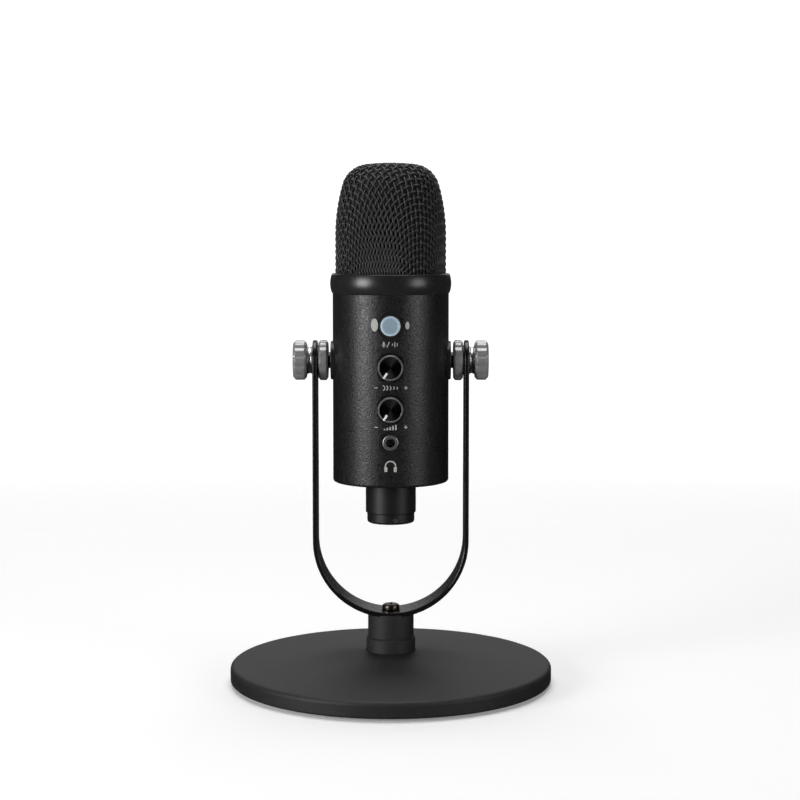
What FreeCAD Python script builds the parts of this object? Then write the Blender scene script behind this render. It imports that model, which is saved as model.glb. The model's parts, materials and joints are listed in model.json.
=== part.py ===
import FreeCAD, Part
import math
import os

# Desktop microphone with a U-shaped bracket on a round weighted base.
# The frame is in millimetres: Z is up, the microphone's axis is the Z axis, its controls face -Y,
# and the origin is the centre of the base's underside. Every piece is drawn where it sits with the
# microphone upright and screwed down on to its base.

UP = FreeCAD.Vector(0, 0, 1)
FRONT = FreeCAD.Vector(0, -1, 0)
SIDES = {"left": -1, "right": 1}

# ---- Driving dimensions ------------------------------------------------------------------------

SEAT_GAP = 0.05            # between flat faces of pieces that move on each other
RUNNING_GAP = 0.05         # radial, between a shaft and its bearing

# base
BASE_RADIUS = 65.0
BASE_RIM_Z = 7.4           # height of the rounded rim
BASE_CROWN_Z = 13.0        # height that the domed top would reach on the axis
BASE_RIM_ROUND = 1.8
PAD_RADIUS = 61.0
PAD_THICKNESS = 1.2
PAD_LET_IN = 0.2           # how far the pad sits up inside the casting
RECESS_RADIUS = 10.15
RECESS_FLOOR_Z = 3.8
STUD_RADIUS = 7.8
STUD_TOP_Z = 11.2
THREAD_PITCH = 0.94
THREAD_DEPTH = 0.45

# swivel nut and stand post
NUT_RADIUS = 9.9
NUT_TOP_Z = 18.6
NUT_SOCKET_RADIUS = 7.95
NUT_SOCKET_TOP_Z = 15.0
POST_RADIUS = 9.25
POST_LIP = 1.0             # how far the post's top stands up beside the bracket's bend
SPIGOT_RADIUS = 6.0
SPIGOT_BOTTOM_Z = 12.6
RING_THICKNESS = 1.0
RING_GROOVE_DEPTH = 0.8

# bracket
YOKE_RADIUS = 31.2         # outside of the U
YOKE_THICKNESS = 1.9
YOKE_WIDTH = 16.2          # width of the strip, front to back
YOKE_ARC_Z = 58.5          # centre height of the U's bend
YOKE_EDGE_ROUND = 0.6
PIVOT_Z = 130.6
PIVOT_HOLE_RADIUS = 2.7

# microphone body
BODY_RADIUS = 23.2
BODY_WALL = 1.6
BODY_BOTTOM_Z = 82.0
BODY_TOP_Z = 157.4
COLLAR_RADIUS = 24.2       # at the middle of its bulge
COLLAR_TOP_Z = 165.4
COLLAR_BULGE_ROUND = 10.5
COLLAR_BULGE_ANGLE = 16    # degrees that the bulge leans in by at its ends
COLLAR_EDGE_ROUND = 0.8
COLLAR_LEDGE_Z = 160.0
CAP_TOP_Z = 85.4
CAP_DOME = 1.1             # how far the bottom cap bulges below its edge

# tail with the cable inlet
TAIL_RADIUS = 10.1
TAIL_TOP_Z = 81.2
TAIL_STEP_Z = 69.3
TAIL_END_RADIUS = 9.5
TAIL_END_Z = 65.2
INLET_RADIUS = 6.7
INLET_DEPTH = 4.8
SET_SCREW_Z = 67.1
SET_SCREW_AZIMUTH = -78.5  # degrees from +X towards +Y

# grille: a straight wall, a long shoulder arc, a tight corner arc and a flat crown arc
GRILLE_RADIUS = 22.15
GRILLE_TOP_Z = 209.2
SHOULDER_ROUND = 74.7
CORNER_ROUND = 11.0
CROWN_ROUND = 86.8
CORNER_CENTRE_RADIUS = 8.69
OUTER_MESH_THICKNESS = 0.8
INNER_MESH_THICKNESS = 0.4
FOAM_THICKNESS = 3.0
LAYER_GAP = 0.15

# front controls, as heights on the front line of the body
CONTROL_FLAT = 0.6         # depth of the flat spot faces below the tube's front line
MUTE_Z = 145.5
ECHO_Z = 129.3
VOLUME_Z = 112.9
JACK_Z = 99.8
MUTE_RADIUS = 3.9
KNOB_RADIUS = 5.05
KNOB_PROUD = 1.8           # how far a knob's face stands out from the body
JACK_BORE_RADIUS = 1.8
JACK_FERRULE_RADIUS = 3.15
POT_SHAFT_RADIUS = 3.0

# pivot hardware, as distances from the microphone's axis
BOSS_RADIUS = 7.75
BOSS_FACE = 24.0
BOSS_ROOT = 21.0           # inside the tube, where the flange is cut back to the tube's curve
BOSS_NECK_RADIUS = 3.2
WHEEL_RADIUS = 8.1
WHEEL_INNER = 25.0
WHEEL_OUTER = 28.85
WASHER_RADIUS = 6.0
SPACER_RADIUS = 5.5
KNOB_INNER = 33.5
KNOB_OUTER = 39.0
THUMB_RADIUS = 8.0
SHANK_RADIUS = 2.5
SHANK_END = 19.9

# inner frame
BOARD_Y = -12.0            # front face of the main board
BOARD_THICKNESS = 1.6
BOARD_HALF_WIDTH = 17.2
BOARD_BOTTOM_Z = 89.0
BOARD_TOP_Z = 151.0
RAIL_CENTRE = 15.4
RAIL_SIZE = 4.0
PLATE_BOTTOM_Z = 157.9
PLATE_THICKNESS = 2.0
PLATE_RADIUS = 20.3
CAPSULE_Z = 184.5
CAPSULE_RADIUS = 12.5

TOLERANCE = 1e-4


# ---- Drawing helpers ---------------------------------------------------------------------------

def point(x=0.0, y=0.0, z=0.0):
    return FreeCAD.Vector(x, y, z)


def outline(corners):
    """A closed face in the XZ plane. A corner is (x, z), or (x, z, radius) where it is rounded."""
    places = [point(corner[0], 0, corner[1]) for corner in corners]
    rounds = [corner[2] if len(corner) == 3 else 0.0 for corner in corners]
    arcs = []
    for i, (place, radius) in enumerate(zip(places, rounds)):
        if radius == 0.0:
            arcs.append((place, None, place))
            continue
        before = (places[i - 1] - place).normalize()
        after = (places[(i + 1) % len(places)] - place).normalize()
        half_angle = before.getAngle(after) / 2
        reach = radius / math.tan(half_angle)
        towards_centre = (before + after).normalize()
        middle = place + towards_centre * (radius / math.sin(half_angle) - radius)
        arcs.append((place + before * reach, middle, place + after * reach))
    edges = []
    for i, (start, middle, end) in enumerate(arcs):
        if middle is not None:
            edges.append(Part.Arc(start, middle, end).toShape())
        following = arcs[(i + 1) % len(arcs)][0]
        if end.distanceToPoint(following) > TOLERANCE:
            edges.append(Part.LineSegment(end, following).toShape())
    return Part.Face(Part.Wire(edges))


def turned(corners):
    """A solid of revolution about the Z axis, from an outline whose x is the radius."""
    return outline(corners).revolve(point(), UP, 360)


def rod(radius, start, end):
    """A cylinder between two points."""
    along = end - start
    return Part.makeCylinder(radius, along.Length, start, along)


def disc(radius, low_z, high_z, centre_x=0.0, centre_y=0.0):
    return rod(radius, point(centre_x, centre_y, low_z), point(centre_x, centre_y, high_z))


def block(low, high):
    """A box between two corners given as (x, y, z)."""
    sizes = [high[i] - low[i] for i in range(3)]
    return Part.makeBox(sizes[0], sizes[1], sizes[2], point(*low))


def laid_along(shape, direction, origin):
    """The shape drawn along +Z from the origin, turned to run along a direction from a point."""
    moved = shape.copy()
    moved.Placement = FreeCAD.Placement(origin, FreeCAD.Rotation(UP, direction))
    return moved


def star_prism(tip_radius, root_radius, teeth, height):
    """A prism with pointed teeth, used to cut straight knurling."""
    corners = []
    for i in range(2 * teeth):
        radius = tip_radius if i % 2 == 0 else root_radius
        angle = math.pi * i / teeth
        corners.append(point(radius * math.cos(angle), radius * math.sin(angle), 0))
    return Part.Face(Part.makePolygon(corners + corners[:1])).extrude(point(0, 0, height))


def hexagon_prism(corner_radius, low_z, height):
    corners = []
    for i in range(6):
        angle = math.pi * i / 3
        corners.append(point(corner_radius * math.cos(angle), corner_radius * math.sin(angle), low_z))
    return Part.Face(Part.makePolygon(corners + corners[:1])).extrude(point(0, 0, height))


def ring_of_rods(radius, pitch_radius, count, low_z, high_z):
    """Parallel cylinders spaced evenly on a circle about the Z axis."""
    rods = []
    for i in range(count):
        angle = 2 * math.pi * i / count
        centre = (pitch_radius * math.cos(angle), pitch_radius * math.sin(angle))
        rods.append(disc(radius, low_z, high_z, *centre))
    return rods


def group(solids):
    return Part.makeCompound(solids)


# ---- Base --------------------------------------------------------------------------------------

COUNTERBORE_RADIUS = 5.0
COUNTERBORE_TOP_Z = 2.8
STUD_SPIGOT_RADIUS = 4.4
CASTING_BOTTOM_Z = PAD_THICKNESS - PAD_LET_IN
CASTING_EDGE_ROUND = 0.8
SCREW_HEAD_GAP = 0.3
SOCKET_RADIUS = 2.3
SOCKET_DEPTH = 1.0


def dome_ball():
    """The ball whose cap is the base's domed top."""
    rise = BASE_CROWN_Z - BASE_RIM_Z
    radius = (BASE_RADIUS ** 2 + rise ** 2) / (2 * rise)
    return Part.makeSphere(radius, point(0, 0, BASE_CROWN_Z - radius))


def is_rim_edge(edge):
    """True for the level circle of full width above the middle of the side wall."""
    box = edge.BoundBox
    level = box.ZLength < TOLERANCE
    full_width = abs(box.XLength - 2 * BASE_RADIUS) < 0.01
    return level and full_width and box.ZMin > (CASTING_BOTTOM_Z + BASE_RIM_Z) / 2


def base_casting():
    disc_blank = turned([
        (0, CASTING_BOTTOM_Z),
        (BASE_RADIUS, CASTING_BOTTOM_Z, CASTING_EDGE_ROUND),
        (BASE_RADIUS, BASE_CROWN_Z),
        (0, BASE_CROWN_Z),
    ])
    domed = disc_blank.common(dome_ball())
    domed = domed.makeFillet(BASE_RIM_ROUND, [edge for edge in domed.Edges if is_rim_edge(edge)])
    cuts = [
        disc(RECESS_RADIUS, RECESS_FLOOR_Z, BASE_CROWN_Z),
        disc(PAD_RADIUS, 0, PAD_THICKNESS),
        disc(COUNTERBORE_RADIUS, 0, COUNTERBORE_TOP_Z),
        disc(STUD_SPIGOT_RADIUS, 0, RECESS_FLOOR_Z),
    ]
    return domed.cut(cuts)


def base_foot_pad():
    return turned([
        (COUNTERBORE_RADIUS, 0),
        (PAD_RADIUS, 0, 0.4),
        (PAD_RADIUS, PAD_THICKNESS),
        (COUNTERBORE_RADIUS, PAD_THICKNESS),
    ])


def threaded(shape, radius, low_z, high_z):
    """Cuts one V groove for each turn of an outside thread."""
    half_groove = THREAD_PITCH * 0.42
    height = low_z + THREAD_PITCH / 2
    while height + half_groove < high_z:
        groove = turned([
            (radius - THREAD_DEPTH, height),
            (radius + THREAD_DEPTH, height - 2 * half_groove),
            (radius + THREAD_DEPTH, height + 2 * half_groove),
        ])
        shape = shape.cut(groove)
        height += THREAD_PITCH
    return shape


def base_stud():
    blank = turned([
        (0, COUNTERBORE_TOP_Z),
        (STUD_SPIGOT_RADIUS, COUNTERBORE_TOP_Z),
        (STUD_SPIGOT_RADIUS, RECESS_FLOOR_Z),
        (STUD_RADIUS, RECESS_FLOOR_Z),
        (STUD_RADIUS, STUD_TOP_Z - 0.6),
        (STUD_RADIUS - 0.6, STUD_TOP_Z),
        (0, STUD_TOP_Z),
    ])
    bored = blank.cut(disc(SHANK_RADIUS, 0, STUD_TOP_Z))
    countersunk = bored.cut(disc(STUD_RADIUS - 2.4, STUD_TOP_Z - 0.8, STUD_TOP_Z))
    return threaded(countersunk, STUD_RADIUS, RECESS_FLOOR_Z + 0.2, STUD_TOP_Z - 0.6)


def stud_screw():
    head_top = COUNTERBORE_TOP_Z
    head_bottom = PAD_THICKNESS + SCREW_HEAD_GAP
    head = disc(COUNTERBORE_RADIUS - SCREW_HEAD_GAP, head_bottom, head_top)
    shank = disc(SHANK_RADIUS, head_top, STUD_TOP_Z - 1.4)
    socket = hexagon_prism(SOCKET_RADIUS, head_bottom, SOCKET_DEPTH)
    return head.fuse(shank).cut(socket).removeSplitter()


# ---- Stand nut, post and bracket ---------------------------------------------------------------

YOKE_BOTTOM_Z = YOKE_ARC_Z - YOKE_RADIUS
YOKE_INNER_RADIUS = YOKE_RADIUS - YOKE_THICKNESS
YOKE_SCREW_RADIUS = 2.0
YOKE_SCREW_HEAD_RADIUS = 3.5
YOKE_SCREW_HEAD_HEIGHT = 2.3
RING_TOP_Z = NUT_SOCKET_TOP_Z - 0.3


def swivel_nut():
    return turned([
        (NUT_SOCKET_RADIUS + 0.6, RECESS_FLOOR_Z),
        (NUT_RADIUS - 0.6, RECESS_FLOOR_Z),
        (NUT_RADIUS, RECESS_FLOOR_Z + 0.6),
        (NUT_RADIUS, NUT_TOP_Z - 0.7, 0.3),
        (NUT_RADIUS - 0.7, NUT_TOP_Z),
        (SPIGOT_RADIUS + RUNNING_GAP, NUT_TOP_Z),
        (SPIGOT_RADIUS + RUNNING_GAP, NUT_SOCKET_TOP_Z),
        (NUT_SOCKET_RADIUS, NUT_SOCKET_TOP_Z),
        (NUT_SOCKET_RADIUS, RECESS_FLOOR_Z + 0.6),
    ])


def stand_post():
    groove_radius = SPIGOT_RADIUS - RING_GROOVE_DEPTH
    post_top_z = YOKE_BOTTOM_Z + POST_LIP
    post = turned([
        (0, SPIGOT_BOTTOM_Z),
        (SPIGOT_RADIUS - 0.5, SPIGOT_BOTTOM_Z),
        (SPIGOT_RADIUS, SPIGOT_BOTTOM_Z + 0.5),
        (SPIGOT_RADIUS, RING_TOP_Z - RING_THICKNESS),
        (groove_radius, RING_TOP_Z - RING_THICKNESS),
        (groove_radius, RING_TOP_Z),
        (SPIGOT_RADIUS, RING_TOP_Z),
        (SPIGOT_RADIUS, NUT_TOP_Z + SEAT_GAP),
        (POST_RADIUS, NUT_TOP_Z + SEAT_GAP),
        (POST_RADIUS, post_top_z, 0.3),
        (0, post_top_z),
    ])
    saddle_half = YOKE_WIDTH / 2 + SEAT_GAP
    saddle = rod(YOKE_RADIUS, point(0, -saddle_half, YOKE_ARC_Z), point(0, saddle_half, YOKE_ARC_Z))
    tapped_hole = disc(YOKE_SCREW_RADIUS, SPIGOT_BOTTOM_Z + 3.0, post_top_z)
    return post.cut([saddle, tapped_hole])


def nut_retaining_ring():
    inner_radius = SPIGOT_RADIUS - RING_GROOVE_DEPTH
    ring = turned([
        (inner_radius, RING_TOP_Z - RING_THICKNESS),
        (inner_radius + 2.0, RING_TOP_Z - RING_THICKNESS),
        (inner_radius + 2.0, RING_TOP_Z),
        (inner_radius, RING_TOP_Z),
    ])
    return ring.cut(block((-1.5, 0, SPIGOT_BOTTOM_Z), (1.5, NUT_RADIUS, NUT_SOCKET_TOP_Z)))


def u_outline(radius, top_z):
    """The face of a U in the XZ plane, with its bend at the bottom and its arms up to a height."""
    left = point(-radius, 0, YOKE_ARC_Z)
    right = point(radius, 0, YOKE_ARC_Z)
    bend = Part.Arc(left, point(0, 0, YOKE_ARC_Z - radius), right).toShape()
    right_arm = Part.LineSegment(right, point(radius, 0, top_z)).toShape()
    mouth = Part.LineSegment(point(radius, 0, top_z), point(-radius, 0, top_z)).toShape()
    left_arm = Part.LineSegment(point(-radius, 0, top_z), left).toShape()
    return Part.Face(Part.Wire([bend, right_arm, mouth, left_arm]))


def is_strip_edge(edge):
    """True for the edges along the strip and round its ends, not for any edge across its width."""
    return edge.BoundBox.YLength < TOLERANCE or edge.BoundBox.ZMin > PIVOT_Z - TOLERANCE


def yoke():
    top_z = PIVOT_Z + YOKE_WIDTH / 2
    section = u_outline(YOKE_RADIUS, top_z).cut(u_outline(YOKE_INNER_RADIUS, top_z + 1))
    section.translate(point(0, -YOKE_WIDTH / 2, 0))
    strip = section.extrude(point(0, YOKE_WIDTH, 0))
    reach = YOKE_RADIUS + 1
    round_end = rod(YOKE_WIDTH / 2, point(-reach, 0, PIVOT_Z), point(reach, 0, PIVOT_Z))
    below = block((-reach, -YOKE_WIDTH / 2, 0), (reach, YOKE_WIDTH / 2, PIVOT_Z))
    bracket = strip.common(round_end.fuse(below).removeSplitter()).removeSplitter()
    bracket = bracket.makeFillet(YOKE_EDGE_ROUND, [edge for edge in bracket.Edges if is_strip_edge(edge)])
    pivot_hole = rod(PIVOT_HOLE_RADIUS, point(-reach, 0, PIVOT_Z), point(reach, 0, PIVOT_Z))
    return bracket.cut([pivot_hole, disc(YOKE_SCREW_RADIUS + 0.2, 0, YOKE_ARC_Z)])


def yoke_screw():
    """The head bears on the bend's flanks, so it sits a little above the lowest point of the bend."""
    head_rise = YOKE_INNER_RADIUS - math.sqrt(YOKE_INNER_RADIUS ** 2 - YOKE_SCREW_HEAD_RADIUS ** 2)
    seat_z = YOKE_BOTTOM_Z + YOKE_THICKNESS + head_rise
    head = turned([
        (0, seat_z),
        (YOKE_SCREW_HEAD_RADIUS, seat_z, 0.3),
        (YOKE_SCREW_HEAD_RADIUS, seat_z + YOKE_SCREW_HEAD_HEIGHT, 1.2),
        (0, seat_z + YOKE_SCREW_HEAD_HEIGHT),
    ])
    shank = disc(YOKE_SCREW_RADIUS, SPIGOT_BOTTOM_Z + 4.0, seat_z)
    top = seat_z + YOKE_SCREW_HEAD_HEIGHT
    slot_depth = 1.2
    slots = [
        block((-2.0, -0.4, top - slot_depth), (2.0, 0.4, top)),
        block((-0.4, -2.0, top - slot_depth), (0.4, 2.0, top)),
    ]
    return head.fuse(shank).cut(slots).removeSplitter()


# ---- Microphone body ---------------------------------------------------------------------------

BODY_INNER_RADIUS = BODY_RADIUS - BODY_WALL
CONTROL_FACE_Y = -(BODY_RADIUS - CONTROL_FLAT)
SPOT_RADII = {MUTE_Z: 5.2, ECHO_Z: 5.8, VOLUME_Z: 5.8, JACK_Z: 4.5}
HOLE_RADII = {MUTE_Z: 4.6, ECHO_Z: 3.6, VOLUME_Z: 3.6, JACK_Z: 3.25}
BOSS_SHANK_RADIUS = 4.9
COLLAR_INNER_RADIUS = 20.4
COLLAR_SKIRT_Z = 151.5
TAIL_SPIGOT_RADIUS = TAIL_RADIUS - 1.55
TAIL_BORE_RADIUS = 8.0
WIRE_BORE_RADIUS = 6.8
SET_SCREW_RADIUS = 0.95
COLLAR_SPIGOT_RADIUS = 7.95
COLLAR_SPIGOT_TOP_Z = TAIL_STEP_Z + 5.2
LOCK_NUT_CORNER_RADIUS = 12.2
LOCK_NUT_HEIGHT = 2.6
MESH_SEAT_RADIUS = GRILLE_RADIUS + LAYER_GAP


def body_tube():
    tube = turned([
        (BODY_INNER_RADIUS, BODY_BOTTOM_Z),
        (BODY_RADIUS, BODY_BOTTOM_Z, 1.0),
        (BODY_RADIUS, BODY_TOP_Z),
        (BODY_INNER_RADIUS, BODY_TOP_Z),
    ])
    across = BODY_RADIUS + 1
    cuts = []
    for height in SPOT_RADII:
        outside = point(0, -across, height)
        cuts.append(rod(SPOT_RADII[height], point(0, CONTROL_FACE_Y, height), outside))
        cuts.append(rod(HOLE_RADII[height], point(0, BOARD_Y, height), outside))
    cuts.append(rod(BOSS_SHANK_RADIUS, point(-across, 0, PIVOT_Z), point(across, 0, PIVOT_Z)))
    return tube.cut(cuts)


def collar_ring():
    skirt_radius = BODY_INNER_RADIUS - SEAT_GAP
    lean = math.radians(COLLAR_BULGE_ANGLE)
    bulge_corner = COLLAR_RADIUS + COLLAR_BULGE_ROUND * (1 / math.cos(lean) - 1)
    bulge_z = (BODY_TOP_Z + COLLAR_TOP_Z) / 2
    edge_radius = bulge_corner - (COLLAR_TOP_Z - bulge_z) * math.tan(lean)
    return turned([
        (COLLAR_INNER_RADIUS, COLLAR_SKIRT_Z),
        (skirt_radius, COLLAR_SKIRT_Z),
        (skirt_radius, BODY_TOP_Z),
        (edge_radius, BODY_TOP_Z, COLLAR_EDGE_ROUND),
        (bulge_corner, bulge_z, COLLAR_BULGE_ROUND),
        (edge_radius, COLLAR_TOP_Z, COLLAR_EDGE_ROUND),
        (MESH_SEAT_RADIUS, COLLAR_TOP_Z),
        (MESH_SEAT_RADIUS, COLLAR_LEDGE_Z),
        (COLLAR_INNER_RADIUS, COLLAR_LEDGE_Z),
    ])


def bottom_cap():
    return turned([
        (TAIL_SPIGOT_RADIUS, TAIL_TOP_Z),
        (TAIL_RADIUS, TAIL_TOP_Z),
        (BODY_INNER_RADIUS - SEAT_GAP, TAIL_TOP_Z + CAP_DOME),
        (BODY_INNER_RADIUS - SEAT_GAP, CAP_TOP_Z),
        (TAIL_SPIGOT_RADIUS, CAP_TOP_Z),
    ])


def tail_sleeve():
    spigot_top = CAP_TOP_Z + LOCK_NUT_HEIGHT + 1.0
    shoulder = TAIL_STEP_Z + 9.7
    return turned([
        (TAIL_BORE_RADIUS, TAIL_STEP_Z),
        (TAIL_RADIUS, TAIL_STEP_Z, 0.4),
        (TAIL_RADIUS, TAIL_TOP_Z),
        (TAIL_SPIGOT_RADIUS, TAIL_TOP_Z),
        (TAIL_SPIGOT_RADIUS, spigot_top),
        (WIRE_BORE_RADIUS, spigot_top),
        (WIRE_BORE_RADIUS, shoulder),
        (TAIL_BORE_RADIUS, shoulder),
    ])


def tail_lock_nut():
    blank = hexagon_prism(LOCK_NUT_CORNER_RADIUS, CAP_TOP_Z, LOCK_NUT_HEIGHT)
    return blank.cut(disc(TAIL_SPIGOT_RADIUS, 0, BODY_TOP_Z))


def set_screw_line():
    angle = math.radians(SET_SCREW_AZIMUTH)
    direction = point(math.cos(angle), math.sin(angle), 0)
    return point(0, 0, SET_SCREW_Z), direction


def connector_collar():
    ring = turned([
        (INLET_RADIUS, TAIL_END_Z),
        (TAIL_END_RADIUS, TAIL_END_Z, 0.9),
        (TAIL_END_RADIUS, TAIL_STEP_Z),
        (COLLAR_SPIGOT_RADIUS, TAIL_STEP_Z),
        (COLLAR_SPIGOT_RADIUS, COLLAR_SPIGOT_TOP_Z),
        (INLET_RADIUS, COLLAR_SPIGOT_TOP_Z),
    ])
    centre, direction = set_screw_line()
    return ring.cut(rod(SET_SCREW_RADIUS, centre, centre + direction * (TAIL_END_RADIUS + 1)))


def collar_set_screw():
    centre, direction = set_screw_line()
    outer_end = centre + direction * (TAIL_END_RADIUS + 0.1)
    screw = rod(SET_SCREW_RADIUS, centre + direction * INLET_RADIUS, outer_end)
    slot = block((-0.15, -0.7, -0.5), (0.15, 0.7, 0))
    return screw.cut(laid_along(slot, direction, outer_end))


def rounded_bar(half_length, half_width, low_z, high_z):
    """An upright bar of racetrack section, long along X."""
    straight = half_length - half_width
    middle = block((-straight, -half_width, low_z), (straight, half_width, high_z))
    ends = [disc(half_width, low_z, high_z, side * straight) for side in (-1, 1)]
    return middle.fuse(ends).removeSplitter()


INSERT_BOTTOM_Z = TAIL_END_Z + 0.3
SHELL_BOTTOM_Z = INSERT_BOTTOM_Z + INLET_DEPTH
SHELL_LENGTH = 7.5
INSERT_TOP_Z = COLLAR_SPIGOT_TOP_Z
SHELL_HALF_LENGTH = 4.5
SHELL_HALF_WIDTH = 1.65
SHELL_WALL = 0.3
PLUG_HALF_LENGTH = 5.6     # room for the moulded body of a plug
PLUG_HALF_WIDTH = 3.2


def usb_insert():
    plug = disc(INLET_RADIUS - SEAT_GAP, INSERT_BOTTOM_Z, INSERT_TOP_Z)
    recess = rounded_bar(PLUG_HALF_LENGTH, PLUG_HALF_WIDTH, INSERT_BOTTOM_Z, SHELL_BOTTOM_Z)
    slot = rounded_bar(SHELL_HALF_LENGTH, SHELL_HALF_WIDTH, SHELL_BOTTOM_Z, INSERT_TOP_Z)
    return plug.cut([recess, slot])


def usb_shell():
    back_z = SHELL_BOTTOM_Z + SHELL_LENGTH
    bore = (SHELL_HALF_LENGTH - SHELL_WALL, SHELL_HALF_WIDTH - SHELL_WALL)
    outside = rounded_bar(SHELL_HALF_LENGTH, SHELL_HALF_WIDTH, SHELL_BOTTOM_Z, back_z)
    inside = rounded_bar(*bore, SHELL_BOTTOM_Z, back_z - SHELL_WALL)
    return outside.cut(inside)


def usb_tongue():
    back = SHELL_BOTTOM_Z + SHELL_LENGTH - SHELL_WALL
    return block((-3.3, -0.35, SHELL_BOTTOM_Z + 0.6), (3.3, 0.35, back))


def usb_board():
    low_z = SHELL_BOTTOM_Z + SHELL_LENGTH
    return block((-5.5, -0.5, low_z), (5.5, 0.5, CAP_TOP_Z))


# ---- Grille ------------------------------------------------------------------------------------

def grille_outline(inset):
    """Edges of the grille's half section from the foot of its wall to the axis, set in by a distance."""
    corner_r = CORNER_CENTRE_RADIUS
    crown_z = GRILLE_TOP_Z - CROWN_ROUND
    corner_z = crown_z + math.sqrt((CROWN_ROUND - CORNER_ROUND) ** 2 - corner_r ** 2)
    shoulder_r = GRILLE_RADIUS - SHOULDER_ROUND
    shoulder_span = math.sqrt((SHOULDER_ROUND - CORNER_ROUND) ** 2 - (corner_r - shoulder_r) ** 2)
    shoulder_z = corner_z - shoulder_span
    corner_start = math.atan2(shoulder_span, corner_r - shoulder_r)
    corner_end = math.atan2(corner_z - crown_z, corner_r)
    arcs = [
        (shoulder_r, shoulder_z, SHOULDER_ROUND, 0.0, corner_start),
        (corner_r, corner_z, CORNER_ROUND, corner_start, corner_end),
        (0.0, crown_z, CROWN_ROUND, corner_end, math.pi / 2),
    ]
    wall_r = GRILLE_RADIUS - inset
    edges = [Part.LineSegment(point(wall_r, 0, COLLAR_LEDGE_Z), point(wall_r, 0, shoulder_z)).toShape()]
    for centre_r, centre_z, radius, start, end in arcs:
        reach = radius - inset
        stops = [point(centre_r + reach * math.cos(angle), 0, centre_z + reach * math.sin(angle))
                 for angle in (start, (start + end) / 2, end)]
        edges.append(Part.Arc(*stops).toShape())
    return edges


def domed_solid(inset):
    """The space inside the grille's outer surface, set in by a distance and closed at the foot."""
    edges = grille_outline(inset)
    foot = point(0, 0, COLLAR_LEDGE_Z)
    top = point(0, 0, GRILLE_TOP_Z - inset)
    edges.append(Part.LineSegment(top, foot).toShape())
    edges.append(Part.LineSegment(foot, point(GRILLE_RADIUS - inset, 0, COLLAR_LEDGE_Z)).toShape())
    section = Part.Face(Part.Wire(Part.__sortEdges__(edges)))
    return section.revolve(point(), UP, 360)


def dome_layer(inset, thickness):
    return domed_solid(inset).cut(domed_solid(inset + thickness))


INNER_MESH_INSET = OUTER_MESH_THICKNESS + LAYER_GAP
FOAM_INSET = INNER_MESH_INSET + INNER_MESH_THICKNESS + LAYER_GAP


# ---- Capsule and inner frame -------------------------------------------------------------------

CRADLE_WALL = 1.2
PLATE_TOP_Z = PLATE_BOTTOM_Z + PLATE_THICKNESS
BOARD_BACK_Y = BOARD_Y + BOARD_THICKNESS


def capsule_saddle():
    cradle_radius = CAPSULE_RADIUS + CRADLE_WALL
    cradle = rod(cradle_radius, point(0, -3, CAPSULE_Z), point(0, 3, CAPSULE_Z))
    stem = block((-5, -3, PLATE_TOP_Z + 2.0), (5, 3, CAPSULE_Z - CAPSULE_RADIUS))
    flange = disc(9.0, PLATE_TOP_Z, PLATE_TOP_Z + 2.0)
    bore = rod(CAPSULE_RADIUS, point(0, -3, CAPSULE_Z), point(0, 3, CAPSULE_Z))
    return cradle.fuse([stem, flange]).cut(bore).removeSplitter()


def capsule_ring():
    outside = rod(CAPSULE_RADIUS, point(0, -4, CAPSULE_Z), point(0, 4, CAPSULE_Z))
    inside = rod(CAPSULE_RADIUS - 2.4, point(0, -4, CAPSULE_Z), point(0, 4, CAPSULE_Z))
    return outside.cut(inside)


def capsule_plate(front_y, back_y):
    return rod(CAPSULE_RADIUS - 2.4, point(0, front_y, CAPSULE_Z), point(0, back_y, CAPSULE_Z))


BOARD_SCREW_HEIGHTS = (92.0, 148.0)
BOARD_SCREW_RADIUS = 1.0
BOARD_SCREW_HEAD = 1.1


def rail_holes(x):
    """The holes for one side's board screws, through the board and its rail."""
    back_y = BOARD_BACK_Y + RAIL_SIZE
    return [rod(BOARD_SCREW_RADIUS, point(x, BOARD_Y, z), point(x, back_y, z)) for z in BOARD_SCREW_HEIGHTS]


def chassis_rail(side):
    x = side * RAIL_CENTRE
    low = (x - RAIL_SIZE / 2, BOARD_BACK_Y, CAP_TOP_Z)
    high = (x + RAIL_SIZE / 2, BOARD_BACK_Y + RAIL_SIZE, PLATE_BOTTOM_Z)
    return block(low, high).cut(rail_holes(x))


def plate_screws(head_radius, shank_radius):
    """Two countersunk screws, or the holes for them, where the top plate sits on the rails' ends."""
    screw_y = BOARD_BACK_Y + RAIL_SIZE / 2
    head_z = PLATE_TOP_Z - 1.2
    screws = []
    for side in (-1, 1):
        x = side * RAIL_CENTRE
        head = disc(head_radius, head_z, PLATE_TOP_Z, x, screw_y)
        shank = disc(shank_radius, PLATE_BOTTOM_Z, head_z, x, screw_y)
        screws.append(head.fuse(shank).removeSplitter())
    return screws


def chassis_top_plate():
    plate = disc(PLATE_RADIUS, PLATE_BOTTOM_Z, PLATE_TOP_Z)
    wire_hole = disc(2.5, PLATE_BOTTOM_Z, PLATE_TOP_Z, 0, 12)
    return plate.cut(plate_screws(1.8, 1.1) + [wire_hole])


def chassis_screws():
    return group(plate_screws(1.7, 1.0))


def main_board():
    low = (-BOARD_HALF_WIDTH, BOARD_Y, BOARD_BOTTOM_Z)
    high = (BOARD_HALF_WIDTH, BOARD_BACK_Y, BOARD_TOP_Z)
    jack_notch = block((-5.6, BOARD_Y, JACK_Z - 5.1), (5.6, BOARD_BACK_Y, JACK_Z + 5.1))
    holes = []
    for side in (-1, 1):
        holes += rail_holes(side * RAIL_CENTRE)
    return block(low, high).cut(holes + [jack_notch])


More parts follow.
